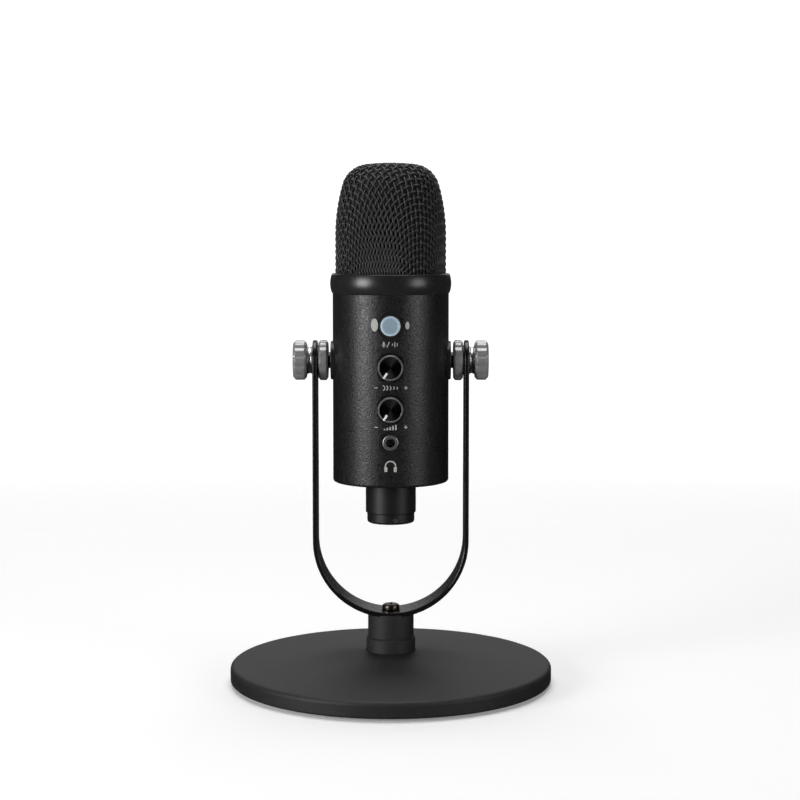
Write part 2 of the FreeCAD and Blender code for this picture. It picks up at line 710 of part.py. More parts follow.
def board_screws():
    """Four screws that hold the board on the rails."""
    screws = []
    for side in (-1, 1):
        for height in BOARD_SCREW_HEIGHTS:
            x = side * RAIL_CENTRE
            head = rod(1.7, point(x, BOARD_Y - BOARD_SCREW_HEAD, height), point(x, BOARD_Y, height))
            end_y = BOARD_BACK_Y + RAIL_SIZE - 0.5
            shank = rod(BOARD_SCREW_RADIUS, point(x, BOARD_Y, height), point(x, end_y, height))
            screws.append(head.fuse(shank).removeSplitter())
    return group(screws)


# ---- Front controls ----------------------------------------------------------------------------

BUTTON_FACE_Y = -BODY_RADIUS - 0.5
BUTTON_BACK_Y = CONTROL_FACE_Y + 3.4
SWITCH_FACE_Y = BOARD_Y - 3.5
KNOB_FACE_Y = -BODY_RADIUS - KNOB_PROUD
KNOB_BACK_Y = CONTROL_FACE_Y - 0.25
POT_FACE_Y = BOARD_Y - 5.5
POT_BUSHING_RADIUS = 3.5


def on_front(corners, height, y):
    """A turned piece whose own Z axis runs out of the front of the body, from a depth y."""
    return laid_along(turned(corners), FRONT, point(0, y, height))


def mute_bezel():
    depth = 2.6
    back_y = CONTROL_FACE_Y + 2.3
    inner_radius = MUTE_RADIUS + 0.15
    return on_front([
        (inner_radius, 0),
        (HOLE_RADII[MUTE_Z], 0),
        (HOLE_RADII[MUTE_Z], depth - 0.2),
        (HOLE_RADII[MUTE_Z] - 0.2, depth),
        (inner_radius, depth),
    ], MUTE_Z, back_y)


def mute_button():
    depth = BUTTON_BACK_Y - BUTTON_FACE_Y
    return on_front([
        (0, 0),
        (MUTE_RADIUS, 0),
        (MUTE_RADIUS, depth, 0.7),
        (0, depth),
    ], MUTE_Z, BUTTON_BACK_Y)


def mute_plunger():
    return rod(1.75, point(0, BUTTON_BACK_Y, MUTE_Z), point(0, SWITCH_FACE_Y - 0.9, MUTE_Z))


def mute_switch():
    return block((-3.0, SWITCH_FACE_Y, MUTE_Z - 3.0), (3.0, BOARD_Y, MUTE_Z + 3.0))


def knob_cap(height):
    depth = KNOB_BACK_Y - KNOB_FACE_Y
    shell = [
        (0, 0),
        (KNOB_RADIUS, 0, 0.2),
        (KNOB_RADIUS, depth - 0.75, 0.2),
        (KNOB_RADIUS - 0.75, depth),
        (KNOB_RADIUS - 1.0, depth - 0.12),
        (0, depth - 0.12),
    ]
    cap = on_front(shell, height, KNOB_BACK_Y)
    shaft_hole = rod(POT_SHAFT_RADIUS, point(0, KNOB_BACK_Y, height), point(0, KNOB_FACE_Y + 0.9, height))
    return cap.cut(shaft_hole)


def pot_shaft(height):
    return rod(POT_SHAFT_RADIUS, point(0, POT_FACE_Y + 3.0, height), point(0, KNOB_FACE_Y + 0.9, height))


def potentiometer(height):
    case = block((-4.8, POT_FACE_Y, height - 5.2), (4.8, BOARD_Y, height + 5.2))
    bushing = rod(POT_BUSHING_RADIUS, point(0, POT_FACE_Y, height), point(0, CONTROL_FACE_Y + 0.3, height))
    bore_radius = POT_SHAFT_RADIUS + RUNNING_GAP
    bore = rod(bore_radius, point(0, POT_FACE_Y + 3.0 + SEAT_GAP, height), point(0, -BODY_RADIUS, height))
    return case.fuse(bushing).cut(bore).removeSplitter()


JACK_FACE_Y = CONTROL_FACE_Y - 0.4
JACK_BORE_END_Y = JACK_FACE_Y + 14.2


def headphone_jack():
    case = block((-5.5, BOARD_Y - 7.5, JACK_Z - 5.0), (5.5, JACK_BORE_END_Y + 1.2, JACK_Z + 5.0))
    ferrule_length = 7.0
    ferrule = on_front([
        (0, 0),
        (JACK_FERRULE_RADIUS, 0),
        (JACK_FERRULE_RADIUS, ferrule_length, 0.35),
        (0, ferrule_length),
    ], JACK_Z, JACK_FACE_Y + ferrule_length)
    bore = rod(JACK_BORE_RADIUS, point(0, JACK_BORE_END_Y, JACK_Z), point(0, -BODY_RADIUS, JACK_Z))
    return case.fuse(ferrule).cut(bore).removeSplitter()


# ---- Pivot hardware, drawn once and made for both sides ----------------------------------------

def outward(side):
    return point(SIDES[side], 0, 0)


def on_side(corners, side):
    """A turned piece whose own Z axis runs outwards along the pivot, from the microphone's axis."""
    return laid_along(turned(corners), outward(side), point(0, 0, PIVOT_Z))


def boss(side):
    bore = SHANK_RADIUS + RUNNING_GAP
    flange = on_side([
        (bore, BOSS_ROOT),
        (BOSS_RADIUS, BOSS_ROOT),
        (BOSS_RADIUS, BOSS_FACE, 0.3),
        (bore, BOSS_FACE),
    ], side)
    flange = flange.cut(disc(BODY_RADIUS, BODY_BOTTOM_Z, BODY_TOP_Z))
    shank = on_side([
        (bore, SHANK_END - 0.4),
        (BOSS_SHANK_RADIUS, SHANK_END - 0.4),
        (BOSS_SHANK_RADIUS, BOSS_FACE - 0.3),
        (BOSS_NECK_RADIUS, BOSS_FACE - 0.3),
        (BOSS_NECK_RADIUS, WHEEL_INNER),
        (bore, WHEEL_INNER),
    ], side)
    return flange.fuse(shank).removeSplitter()


def inner_wheel(side):
    bore = SHANK_RADIUS + 0.1
    blank = on_side([
        (bore, WHEEL_INNER),
        (WHEEL_RADIUS - 0.7, WHEEL_INNER),
        (WHEEL_RADIUS, WHEEL_INNER + 0.7),
        (WHEEL_RADIUS, WHEEL_OUTER - 0.7),
        (WHEEL_RADIUS - 0.7, WHEEL_OUTER),
        (bore, WHEEL_OUTER),
    ], side)
    knurl = star_prism(WHEEL_RADIUS + 0.05, WHEEL_RADIUS - 0.4, 40, KNOB_OUTER)
    return blank.common(laid_along(knurl, outward(side), point(0, 0, PIVOT_Z)))


def plain_ring(side, inner, outer, start, end, rounding=0.0):
    corners = [(inner, start), (outer, start, rounding), (outer, end, rounding), (inner, end)]
    if rounding == 0.0:
        corners = [corner[:2] for corner in corners]
    return on_side(corners, side)


def thumb_knob(side):
    blank = turned([
        (SHANK_RADIUS, KNOB_INNER + SEAT_GAP),
        (THUMB_RADIUS - 0.9, KNOB_INNER + SEAT_GAP),
        (THUMB_RADIUS, KNOB_INNER + 0.9),
        (THUMB_RADIUS, KNOB_OUTER - 0.9),
        (THUMB_RADIUS - 0.9, KNOB_OUTER),
        (0, KNOB_OUTER),
        (0, KNOB_OUTER - 2.0),
        (SHANK_RADIUS, KNOB_OUTER - 2.0),
    ])
    lobes = 12
    flutes = ring_of_rods(1.3, THUMB_RADIUS + 0.75, lobes, KNOB_INNER, KNOB_OUTER)
    return laid_along(blank.cut(flutes), outward(side), point(0, 0, PIVOT_Z))


def thumb_stud(side):
    start = point(SIDES[side] * SHANK_END, 0, PIVOT_Z)
    end = point(SIDES[side] * (KNOB_OUTER - 2.0), 0, PIVOT_Z)
    return rod(SHANK_RADIUS, start, end)


# ---- Every node --------------------------------------------------------------------------------

def all_nodes():
    nodes = {
        "base_casting": base_casting(),
        "base_foot_pad": base_foot_pad(),
        "base_stud": base_stud(),
        "stud_screw": stud_screw(),
        "swivel_nut": swivel_nut(),
        "stand_post": stand_post(),
        "nut_retaining_ring": nut_retaining_ring(),
        "yoke": yoke(),
        "yoke_screw": yoke_screw(),
        "body_tube": body_tube(),
        "collar_ring": collar_ring(),
        "bottom_cap": bottom_cap(),
        "tail_sleeve": tail_sleeve(),
        "tail_lock_nut": tail_lock_nut(),
        "connector_collar": connector_collar(),
        "collar_set_screw": collar_set_screw(),
        "usb_insert": usb_insert(),
        "usb_shell": usb_shell(),
        "usb_tongue": usb_tongue(),
        "usb_board": usb_board(),
        "grille_outer_mesh": dome_layer(0.0, OUTER_MESH_THICKNESS),
        "grille_inner_mesh": dome_layer(INNER_MESH_INSET, INNER_MESH_THICKNESS),
        "foam_liner": dome_layer(FOAM_INSET, FOAM_THICKNESS),
        "capsule_saddle": capsule_saddle(),
        "capsule_ring": capsule_ring(),
        "capsule_backplate": capsule_plate(-1.0, 1.0),
        "capsule_diaphragms": group([capsule_plate(-2.2, -1.9), capsule_plate(1.9, 2.2)]),
        "chassis_top_plate": chassis_top_plate(),
        "chassis_screws": chassis_screws(),
        "main_board": main_board(),
        "board_screws": board_screws(),
        "mute_bezel": mute_bezel(),
        "mute_button": mute_button(),
        "mute_plunger": mute_plunger(),
        "mute_switch": mute_switch(),
        "echo_knob": knob_cap(ECHO_Z),
        "echo_shaft": pot_shaft(ECHO_Z),
        "echo_pot": potentiometer(ECHO_Z),
        "volume_knob": knob_cap(VOLUME_Z),
        "volume_shaft": pot_shaft(VOLUME_Z),
        "volume_pot": potentiometer(VOLUME_Z),
        "headphone_jack": headphone_jack(),
    }
    for side in SIDES:
        arm_outer_face = YOKE_RADIUS + SEAT_GAP
        washer_outer_face = YOKE_INNER_RADIUS - SEAT_GAP
        bore = SHANK_RADIUS + 0.1
        nodes["chassis_rail_" + side] = chassis_rail(SIDES[side])
        nodes[side + "_boss"] = boss(side)
        nodes[side + "_inner_wheel"] = inner_wheel(side)
        nodes[side + "_washer"] = plain_ring(side, bore, WASHER_RADIUS, WHEEL_OUTER, washer_outer_face)
        nodes[side + "_spacer"] = plain_ring(side, bore, SPACER_RADIUS, arm_outer_face, KNOB_INNER, 0.3)
        nodes[side + "_thumb_knob"] = thumb_knob(side)
        nodes[side + "_thumb_stud"] = thumb_stud(side)
    return nodes


os.makedirs("parts", exist_ok=True)
for name, shape in all_nodes().items():
    solids = shape.Solids
    if not shape.isValid() or not solids:
        raise ValueError(name + " is not a valid solid")
    piece = solids[0] if len(solids) == 1 else Part.makeCompound(solids)
    piece.exportStep("parts/" + name + ".step")
    print(name, len(solids), round(piece.Volume, 1))
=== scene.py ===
import json
import math

import bmesh
import bpy
import numpy as np
from mathutils import Matrix, Vector


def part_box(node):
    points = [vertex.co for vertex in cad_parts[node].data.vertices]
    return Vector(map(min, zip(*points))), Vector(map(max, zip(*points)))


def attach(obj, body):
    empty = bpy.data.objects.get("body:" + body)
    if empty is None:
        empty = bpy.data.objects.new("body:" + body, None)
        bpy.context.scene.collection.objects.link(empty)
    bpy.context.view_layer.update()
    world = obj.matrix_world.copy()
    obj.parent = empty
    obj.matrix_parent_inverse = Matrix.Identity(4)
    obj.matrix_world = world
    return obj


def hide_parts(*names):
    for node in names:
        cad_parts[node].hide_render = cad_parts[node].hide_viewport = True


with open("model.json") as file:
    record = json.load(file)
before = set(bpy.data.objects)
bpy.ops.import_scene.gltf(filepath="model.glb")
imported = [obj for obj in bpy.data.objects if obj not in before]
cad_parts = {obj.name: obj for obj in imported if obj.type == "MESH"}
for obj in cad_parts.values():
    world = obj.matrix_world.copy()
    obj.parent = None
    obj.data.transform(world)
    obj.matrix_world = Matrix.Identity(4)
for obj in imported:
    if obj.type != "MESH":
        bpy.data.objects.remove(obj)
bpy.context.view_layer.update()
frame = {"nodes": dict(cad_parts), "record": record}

# Looks of the desktop microphone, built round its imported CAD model. Shapes are in millimetres and
# become metres where a mesh is made. The studio's lights, floor and camera are in metres.
# Z is up, the controls face -Y, and the desk is at Z 0.

MM = 0.001
SIDES = {"left": -1, "right": 1}           # which way along X each side's pivot points


def box_mm(node):
    """Lowest and highest corner of a CAD node, in millimetres."""
    low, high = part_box(node)
    return np.array(low) / MM, np.array(high) / MM


def middle_mm(node):
    """Middle of a CAD node's box, in millimetres."""
    low, high = box_mm(node)
    return (low + high) / 2


# ---- Shapes ------------------------------------------------------------------------------------

def unit(vector):
    return vector / np.linalg.norm(vector)


STEPS_PER_ROUND = 5


def rounded(corners):
    """Points of a closed outline. A corner is (r, h), or (r, h, radius) where it is rounded."""
    points = []
    for i, corner in enumerate(corners):
        place = np.array(corner[:2], float)
        if len(corner) == 2:
            points.append(place)
            continue
        back = unit(np.array(corners[i - 1][:2]) - place)
        ahead = unit(np.array(corners[(i + 1) % len(corners)][:2]) - place)
        half = math.acos(float(np.clip(back @ ahead, -1, 1))) / 2
        centre = place + unit(back + ahead) * corner[2] / math.sin(half)
        start = place + back * corner[2] / math.tan(half) - centre
        end = place + ahead * corner[2] / math.tan(half) - centre
        first = math.atan2(start[1], start[0])
        sweep = math.remainder(math.atan2(end[1], end[0]) - first, math.tau)
        for step in range(STEPS_PER_ROUND + 1):
            angle = first + sweep * step / STEPS_PER_ROUND
            points.append(centre + corner[2] * np.array([math.cos(angle), math.sin(angle)]))
    return np.array(points)


def turned_points(outline, segments, shape=None):
    """A grid of points (rows along the outline, columns round the axis) of a turned piece.
    shape, if given, takes radii, heights and angles and gives the radii to use."""
    angles = np.arange(segments) * math.tau / segments
    radii = np.repeat(outline[:, :1], segments, axis=1)
    heights = np.repeat(outline[:, 1:], segments, axis=1)
    angles = np.repeat(angles[None, :], len(outline), axis=0)
    if shape is not None:
        radii = shape(radii, heights, angles)
    return np.stack([radii * np.cos(angles), radii * np.sin(angles), heights], axis=-1)


def grid_faces(rows, columns, close_rows=True):
    """Quads of a grid whose columns close on themselves, and whose rows do too if asked."""
    faces = []
    for row in range(rows if close_rows else rows - 1):
        below = row * columns
        above = (row + 1) % rows * columns
        for column in range(columns):
            ahead = (column + 1) % columns
            faces.append((below + column, below + ahead, above + ahead, above + column))
    return faces


def bar_faces(rows):
    """Faces of a bar with four corners in each row of points, and both ends closed."""
    faces = grid_faces(rows, 4, close_rows=False)
    last = 4 * (rows - 1)
    return faces + [(3, 2, 1, 0), (last, last + 1, last + 2, last + 3)]


def make_piece(name, points, faces, material, body, slot, replaces=(), place=None,
               sharp_deg=32.0):
    """A mesh piece from points in millimetres, shaded smooth except at sharp edges."""
    mesh = bpy.data.meshes.new(name)
    mesh.from_pydata((np.reshape(points, (-1, 3)) * MM).tolist(), [], faces)
    if place is not None:
        mesh.transform(place)
    tidy = bmesh.new()
    tidy.from_mesh(mesh)
    bmesh.ops.remove_doubles(tidy, verts=tidy.verts, dist=1e-7)
    bmesh.ops.recalc_face_normals(tidy, faces=tidy.faces)
    tidy.to_mesh(mesh)
    tidy.free()
    mesh.shade_smooth()
    mesh.set_sharp_from_angle(angle=math.radians(sharp_deg))
    mesh.materials.append(material)
    piece = bpy.data.objects.new(name, mesh)
    bpy.context.scene.collection.objects.link(piece)
    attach(piece, body)
    if replaces:
        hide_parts(*replaces)
    return piece


def turned(name, corners, material, body, slot, segments=128, shape=None, **rest):
    """A piece turned about an axis from the corners of its half section."""
    outline = rounded(corners)
    points = turned_points(outline, segments, shape)
    faces = grid_faces(len(outline), segments)
    return make_piece(name, points, faces, material, body, slot, **rest)


def along(direction, origin):
    """Places a turned piece: its axis runs along +-X, -Y or Z from an origin in millimetres."""
    axis = Vector(direction)
    across = Vector((1, 0, 0)) if abs(axis.x) < 0.5 else Vector((0, axis.x, 0))
    turn = Matrix((across, axis.cross(across), axis)).transposed().to_4x4()
    return Matrix.Translation(Vector(origin) * MM) @ turn


# ---- Materials ---------------------------------------------------------------------------------

def new_material(name, **sockets):
    """A material and its shader. Values that are even all over go on the shader's own sockets."""
    material = bpy.data.materials.new(name)
    material.use_nodes = True
    shader = material.node_tree.nodes["Principled BSDF"]
    for socket, value in sockets.items():
        shader.inputs[socket.replace("_", " ")].default_value = value
    return material, material.node_tree, shader


def add(tree, kind, inputs=(), **settings):
    """Adds a shader node. Inputs are sockets to link, or plain values."""
    node = tree.nodes.new("ShaderNode" + kind)
    for key, value in settings.items():
        setattr(node, key, value)
    for key, value in dict(inputs).items():
        if isinstance(value, bpy.types.NodeSocket):
            tree.links.new(value, node.inputs[key])
        else:
            node.inputs[key].default_value = value
    return node


def maths(tree, operation, first, second=0.0):
    return add(tree, "Math", {0: first, 1: second}, operation=operation).outputs[0]


def object_point(tree):
    """The point on the piece, in metres, where it was drawn. It moves with the piece."""
    return add(tree, "TexCoord").outputs["Object"]


def noise(tree, size_mm, detail=2.0, point=None):
    """Cloudy noise, mostly from 0.25 to 0.75, whose lumps are about size_mm across."""
    inputs = {"Vector": point or object_point(tree), "Scale": 1 / (size_mm * MM),
              "Detail": detail}
    return add(tree, "TexNoise", inputs).outputs["Fac"]


def ranged(tree, value, low, high, from_low=0.25, from_high=0.75):
    """Stretches a value to a range. The usual input range is that of noise."""
    inputs = {"Value": value, "From Min": from_low, "From Max": from_high,
              "To Min": low, "To Max": high}
    return add(tree, "MapRange", inputs).outputs[0]


def blended(tree, factor, first, second):
    """A colour between two colours."""
    node = add(tree, "Mix", data_type="RGBA")
    inputs = [socket for socket in node.inputs if socket.type == "RGBA"]
    for socket, colour in zip(inputs, (first, second)):
        socket.default_value = (*colour, 1.0)
    tree.links.new(factor, node.inputs["Factor"])
    return [socket for socket in node.outputs if socket.type == "RGBA"][0]


def bumped(tree, height, depth_mm, normal=None):
    """A normal from a height of 0 to 1."""
    inputs = {"Height": height, "Strength": 1.0, "Distance": depth_mm * MM}
    if normal is not None:
        inputs["Normal"] = normal
    return add(tree, "Bump", inputs).outputs["Normal"]


def tinted(tree, factor, colour, low, high):
    """A colour darkened or lightened between two strengths by a factor of 0 to 1."""
    first, second = (tuple(min(1.0, channel * strength) for channel in colour)
                     for strength in (low, high))
    return blended(tree, factor, first, second)


def connect(tree, shader, colour, roughness, normal):
    """Links the three outputs that every finish here varies over its surface."""
    tree.links.new(colour, shader.inputs["Base Color"])
    tree.links.new(roughness, shader.inputs["Roughness"])
    tree.links.new(normal, shader.inputs["Normal"])


CLOUD_MM = 9.0             # size of the broad clouds in a coating's tone
CLOUD_SHARE = 0.15         # their part in that tone, the rest being grain
FINE_SIZE = 0.35           # size of the finest grain, as a part of the main grain's size
FINE_DEPTH = 0.25          # and its depth, as a part of the main grain's depth


def coating(name, colour, roughness, grain_mm, depth_mm, mottle=0.2, spread=0.06, **sockets):
    """Painted, moulded or blasted surface: cloudy tone, uneven gloss and a fine raised grain."""
    material, tree, shader = new_material(name, **sockets)
    clouds = noise(tree, CLOUD_MM, detail=4.0)
    grain = noise(tree, grain_mm)
    fine = noise(tree, grain_mm * FINE_SIZE)
    cloud_part = maths(tree, "MULTIPLY", clouds, CLOUD_SHARE)
    tone = maths(tree, "ADD", maths(tree, "MULTIPLY", grain, 1 - CLOUD_SHARE), cloud_part)
    connect(tree, shader,
            tinted(tree, ranged(tree, tone, 0, 1), colour, 1 - mottle, 1 + mottle),
            ranged(tree, tone, roughness - spread, roughness + spread),
            bumped(tree, fine, depth_mm * FINE_DEPTH, bumped(tree, grain, depth_mm)))
    return material


def axis_distance(tree, centre_mm, keep):
    """Distance in metres from an axis through a point. keep is 0 along the axis, and else 1."""
    centre = tuple(float(value) * MM for value in centre_mm)
    offset = add(tree, "VectorMath", {0: object_point(tree), 1: centre}, operation="SUBTRACT")
    flat = add(tree, "VectorMath", {0: offset.outputs[0], 1: keep}, operation="MULTIPLY")
    return add(tree, "VectorMath", {0: flat.outputs[0]}, operation="LENGTH").outputs["Value"]


SMUDGE_MM = 3.0            # size of the smudges that make turned metal's gloss uneven
METAL_SPREAD = 0.05        # and how far they move its roughness


def machined(name, colour, roughness, centre_mm, keep, line_mm=0.12, depth_mm=0.004, spun=0.0,
             **sockets):
    """Turned metal with fine round tool marks about an axis. spun stretches its highlights."""
    material, tree, shader = new_material(name, Anisotropic=spun, **{"Metallic": 1.0, **sockets})
    if spun:
        tangent = add(tree, "Tangent", direction_type="RADIAL", axis="XYZ"[keep.index(0)])
        tree.links.new(tangent.outputs[0], shader.inputs["Tangent"])
    radius = axis_distance(tree, centre_mm, keep)
    stretched = add(tree, "CombineXYZ", {0: radius}).outputs[0]
    lines = noise(tree, line_mm, detail=3.0, point=stretched)
    smudge = noise(tree, SMUDGE_MM, detail=3.0)
    mixed = maths(tree, "MULTIPLY", maths(tree, "ADD", lines, smudge), 0.5)
    connect(tree, shader,
            tinted(tree, ranged(tree, lines, 0, 1), colour, 0.86, 1.12),
            ranged(tree, mixed, roughness - METAL_SPREAD, roughness + METAL_SPREAD),
            bumped(tree, lines, depth_mm))
    return material


GAUZE_DEPTH_MM = 0.12


def gauze(name, colour, radius_mm, pitch_mm):
    """Fine woven wire cloth, as crossing waves round the axis and up it."""
    material, tree, shader = new_material(name, Metallic=0.4)
    place = add(tree, "SeparateXYZ", {0: object_point(tree)}).outputs
    azimuth = maths(tree, "ARCTAN2", place["X"], place["Y"])
    across = maths(tree, "MULTIPLY", azimuth, radius_mm * math.pi / pitch_mm)
    upward = maths(tree, "MULTIPLY", place["Z"], math.pi / (pitch_mm * MM))
    weave = maths(tree, "MULTIPLY", maths(tree, "SINE", across), maths(tree, "SINE", upward))
    height = maths(tree, "ABSOLUTE", weave)
    # Painted shade: the colour is darkest in the weave's grooves and lightest on its bumps.
    connect(tree, shader, tinted(tree, height, colour, 0.15, 1.4),
            ranged(tree, height, 0.65, 0.45, 0, 1), bumped(tree, height, GAUZE_DEPTH_MM))
    return material


LUMP_MM = 0.7
GAP_DEPTH_MM = 0.35


def foam(name, colour):
    """Open-cell foam, as lumps with deeper gaps between them, coloured with painted shade that is
    darkest in the gaps.
    """
    material, tree, shader = new_material(name, Sheen_Weight=0.3)
    lumps = add(tree, "TexVoronoi", {"Vector": object_point(tree), "Scale": 1 / (LUMP_MM * MM)})
    from_middle = lumps.outputs["Distance"]
    # Painted shade: colour is lightest on the lumps and darkest in the gaps between them.
    connect(tree, shader, tinted(tree, from_middle, colour, 1.6, 0.3),
            ranged(tree, from_middle, 0.8, 0.95, 0, 1), bumped(tree, from_middle, -GAP_DEPTH_MM))
    return material


TRACK_GAP_MM = 6.0
TRACK_HEIGHT_MM = 0.03
PATCH_MM = 4.0
MASK_DARK = (0.008, 0.10, 0.035)
MASK_LIGHT = (0.03, 0.22, 0.09)


def circuit_board(name):
    """Green solder mask over faint straight copper tracks."""
    material, tree, shader = new_material(name, Coat_Weight=0.4, Coat_Roughness=0.2)
    tracks = add(tree, "TexBrick", {"Vector": object_point(tree), "Scale": 1 / (TRACK_GAP_MM * MM),
                                    "Mortar Size": 0.03})
    patches = maths(tree, "MULTIPLY", noise(tree, PATCH_MM), 0.3)
    level = maths(tree, "ADD", tracks.outputs["Fac"], patches)
    connect(tree, shader, blended(tree, level, MASK_DARK, MASK_LIGHT),
            ranged(tree, level, 0.3, 0.45, 0, 1), bumped(tree, level, TRACK_HEIGHT_MM))
    return material


# Colours of the button's middle and of the painted highlight on its rim.
BUTTON_MIDDLE = (0.23, 0.31, 0.38)
BUTTON_RIM_HIGHLIGHT = (0.46, 0.59, 0.67)
HIGHLIGHT_STARTS = 0.70          # where the painted rim highlight starts, as a part of its radius
HIGHLIGHT_IS_FULL = 0.92


def button_plastic(name, centre_mm, radius_mm):
    """Milky blue-grey plastic, paler towards its edge: a painted highlight on the raised rim."""
    material, tree, shader = new_material(name, Coat_Weight=0.25, Coat_Roughness=0.25)
    radius = axis_distance(tree, centre_mm, (1, 0, 1))
    # Painted highlight: the colour pales towards the button's raised rim.
    rim_highlight = ranged(tree, radius, 0, 1, HIGHLIGHT_STARTS * radius_mm * MM, HIGHLIGHT_IS_FULL * radius_mm * MM)
    clouds = maths(tree, "MULTIPLY", noise(tree, 1.2, detail=3.0), 0.12)
    connect(tree, shader,
            blended(tree, maths(tree, "ADD", rim_highlight, clouds), BUTTON_MIDDLE, BUTTON_RIM_HIGHLIGHT),
            ranged(tree, noise(tree, 0.5), 0.32, 0.46), bumped(tree, noise(tree, 0.25), 0.006))
    return material


# Name, colour, roughness, and the size and depth of the grain in millimetres.

cast_black = coating("cast_black_coat", (0.012, 0.012, 0.0122), 0.58, 0.6, 0.09, mottle=0.35,
                     spread=0.02)
pad_rubber = coating("pad_rubber_grain", (0.014, 0.014, 0.014), 0.8, 0.8, 0.06)
stand_black = coating("stand_black_coat", (0.017, 0.017, 0.0172), 0.60, 0.3, 0.012, mottle=0.15)
bracket_black = coating("bracket_black_coat", (0.006, 0.006, 0.0062), 0.27, 0.4, 0.015, mottle=0.15)
body_black = coating("body_black_grain", (0.009, 0.009, 0.009), 0.39, 0.7, 0.09, mottle=0.7,
                     spread=0.16)
tail_black = coating("tail_black_satin", (0.008, 0.008, 0.0082), 0.43, 0.25, 0.004, mottle=0.15,
                     spread=0.04)
collar_black = coating("collar_black_gloss", (0.015, 0.015, 0.0153), 0.29, 0.2, 0.002, mottle=0.15,
                       spread=0.03)
wire_black = coating("wire_black_coat", (0.036, 0.036, 0.0365), 0.42, 0.25, 0.012, mottle=0.3)
gauze_black = gauze("gauze_black", (0.02, 0.02, 0.02), 21.2, 0.5)
foam_black = foam("foam_black", (0.012, 0.012, 0.012))
inner_plastic = coating("inner_plastic_moulded", (0.02, 0.02, 0.021), 0.45, 0.5, 0.02)
frame_metal = coating("frame_metal_rolled", (0.5, 0.5, 0.51), 0.38, 0.6, 0.01, mottle=0.1,
                      Metallic=1.0)
fastener_steel = coating("fastener_steel_plated", (0.55, 0.55, 0.56), 0.3, 0.4, 0.01, mottle=0.15,
                         Metallic=1.0)
# Brass darkened all over: painted shade for the stud sunk in the base's dark recess.
shade_dark_brass = coating("brass_painted_shade", (0.034, 0.029, 0.020), 0.45, 0.4, 0.02, mottle=0.3,
                          Metallic=1.0)
dark_steel = coating("dark_steel_oxide", (0.11, 0.095, 0.08), 0.30, 0.4, 0.02, mottle=0.3,
                     Metallic=1.0)
jack_nickel = coating("jack_nickel_plated", (0.50, 0.50, 0.505), 0.42, 0.4, 0.008, mottle=0.15,
                      Metallic=1.0)
brass = coating("brass_turned", (0.50, 0.33, 0.13), 0.34, 0.35, 0.01, mottle=0.2, Metallic=1.0)
diaphragm_gold = coating("diaphragm_gold_film", (0.75, 0.55, 0.2), 0.2, 2.0, 0.02, mottle=0.08,
                         Metallic=1.0)
board_green = circuit_board("board_green_mask")
pointer_white = coating("pointer_white_paint", (0.80, 0.80, 0.78), 0.4, 0.3, 0.004, mottle=0.08)
print_white = coating("print_white_ink", (0.40, 0.40, 0.385), 0.55, 0.3, 0.004, mottle=0.15)


# ---- CAD nodes that keep their shape -----------------------------------------------------------

FINISH_OF_SLOT = {
    "cast_black": cast_black,
    "pad_rubber": pad_rubber,
    "stand_black": stand_black,
    "bracket_black": bracket_black,
    "body_black": body_black,
    "tail_black": tail_black,
    "collar_black": collar_black,
    "mesh_black": gauze_black,
    "foam": foam_black,
    "inner_plastic": inner_plastic,
    "frame_metal": frame_metal,
    "fastener_steel": fastener_steel,
    "brass": brass,
    "diaphragm_gold": diaphragm_gold,
    "board_green": board_green,
}

# Nodes whose finish isn't that of their slot.
FINISH_OF_NODE = {
    "yoke_screw": dark_steel,
    "left_boss": collar_black,
    "right_boss": collar_black,
    "headphone_jack": jack_nickel,
}


def finish_cad_nodes():
    """Gives every CAD node its own finish, or else its slot's."""
    for part in frame["record"]["subparts"]:
        name, slot = part["node"], part["material_slot"]
        node = frame["nodes"][name]
        node.data.materials.clear()
        finish = FINISH_OF_SLOT.get(slot, fastener_steel)
        node.data.materials.append(FINISH_OF_NODE.get(name, finish))


finish_cad_nodes()


# ---- Grille: crimped wires over a dome, like cloth drawn to shape ------------------------------

# Drawn wire cloth mostly shears: its wires keep their spacing and bunch towards the diagonals. Real
# cloth also stretches a little, so each crossing is moved part of the way to even spacing.

WIRE_PITCH = 2.5
WIRE_RADIUS = 0.39
WIRE_CRIMP = 0.37          # how far a wire swings to each side of the cloth's middle surface
WIRE_GAP = 0.02            # between the wires' outermost points and the CAD surface
SHEAR_SHARE = 0.38         # 1 for cloth that only shears, 0 for wires that are evenly spread
WIRE_SIDES = 6
STEPS_PER_PITCH = 6
WEAVE_TURN_DEG = 33        # one family of wires runs straight down the wall this far right of front
CORNER_CENTRE_R = 8.69     # distance of the dome's corner arc from the axis
CORNER_ROUND = 11.0        # radii of the dome's three arcs, from the outside
CROWN_ROUND = 86.8
SHOULDER_ROUND = 74.7
POINTS_PER_ARC = 160
POINTS_DOWN_WALL = 120
NEWTON_STEPS = 12
OFF_CLOTH_LIMIT = 0.1      # a crossing further off the surface than this hasn't been found
FEWEST_CROSSINGS = 4       # a wire with fewer crossings is left out


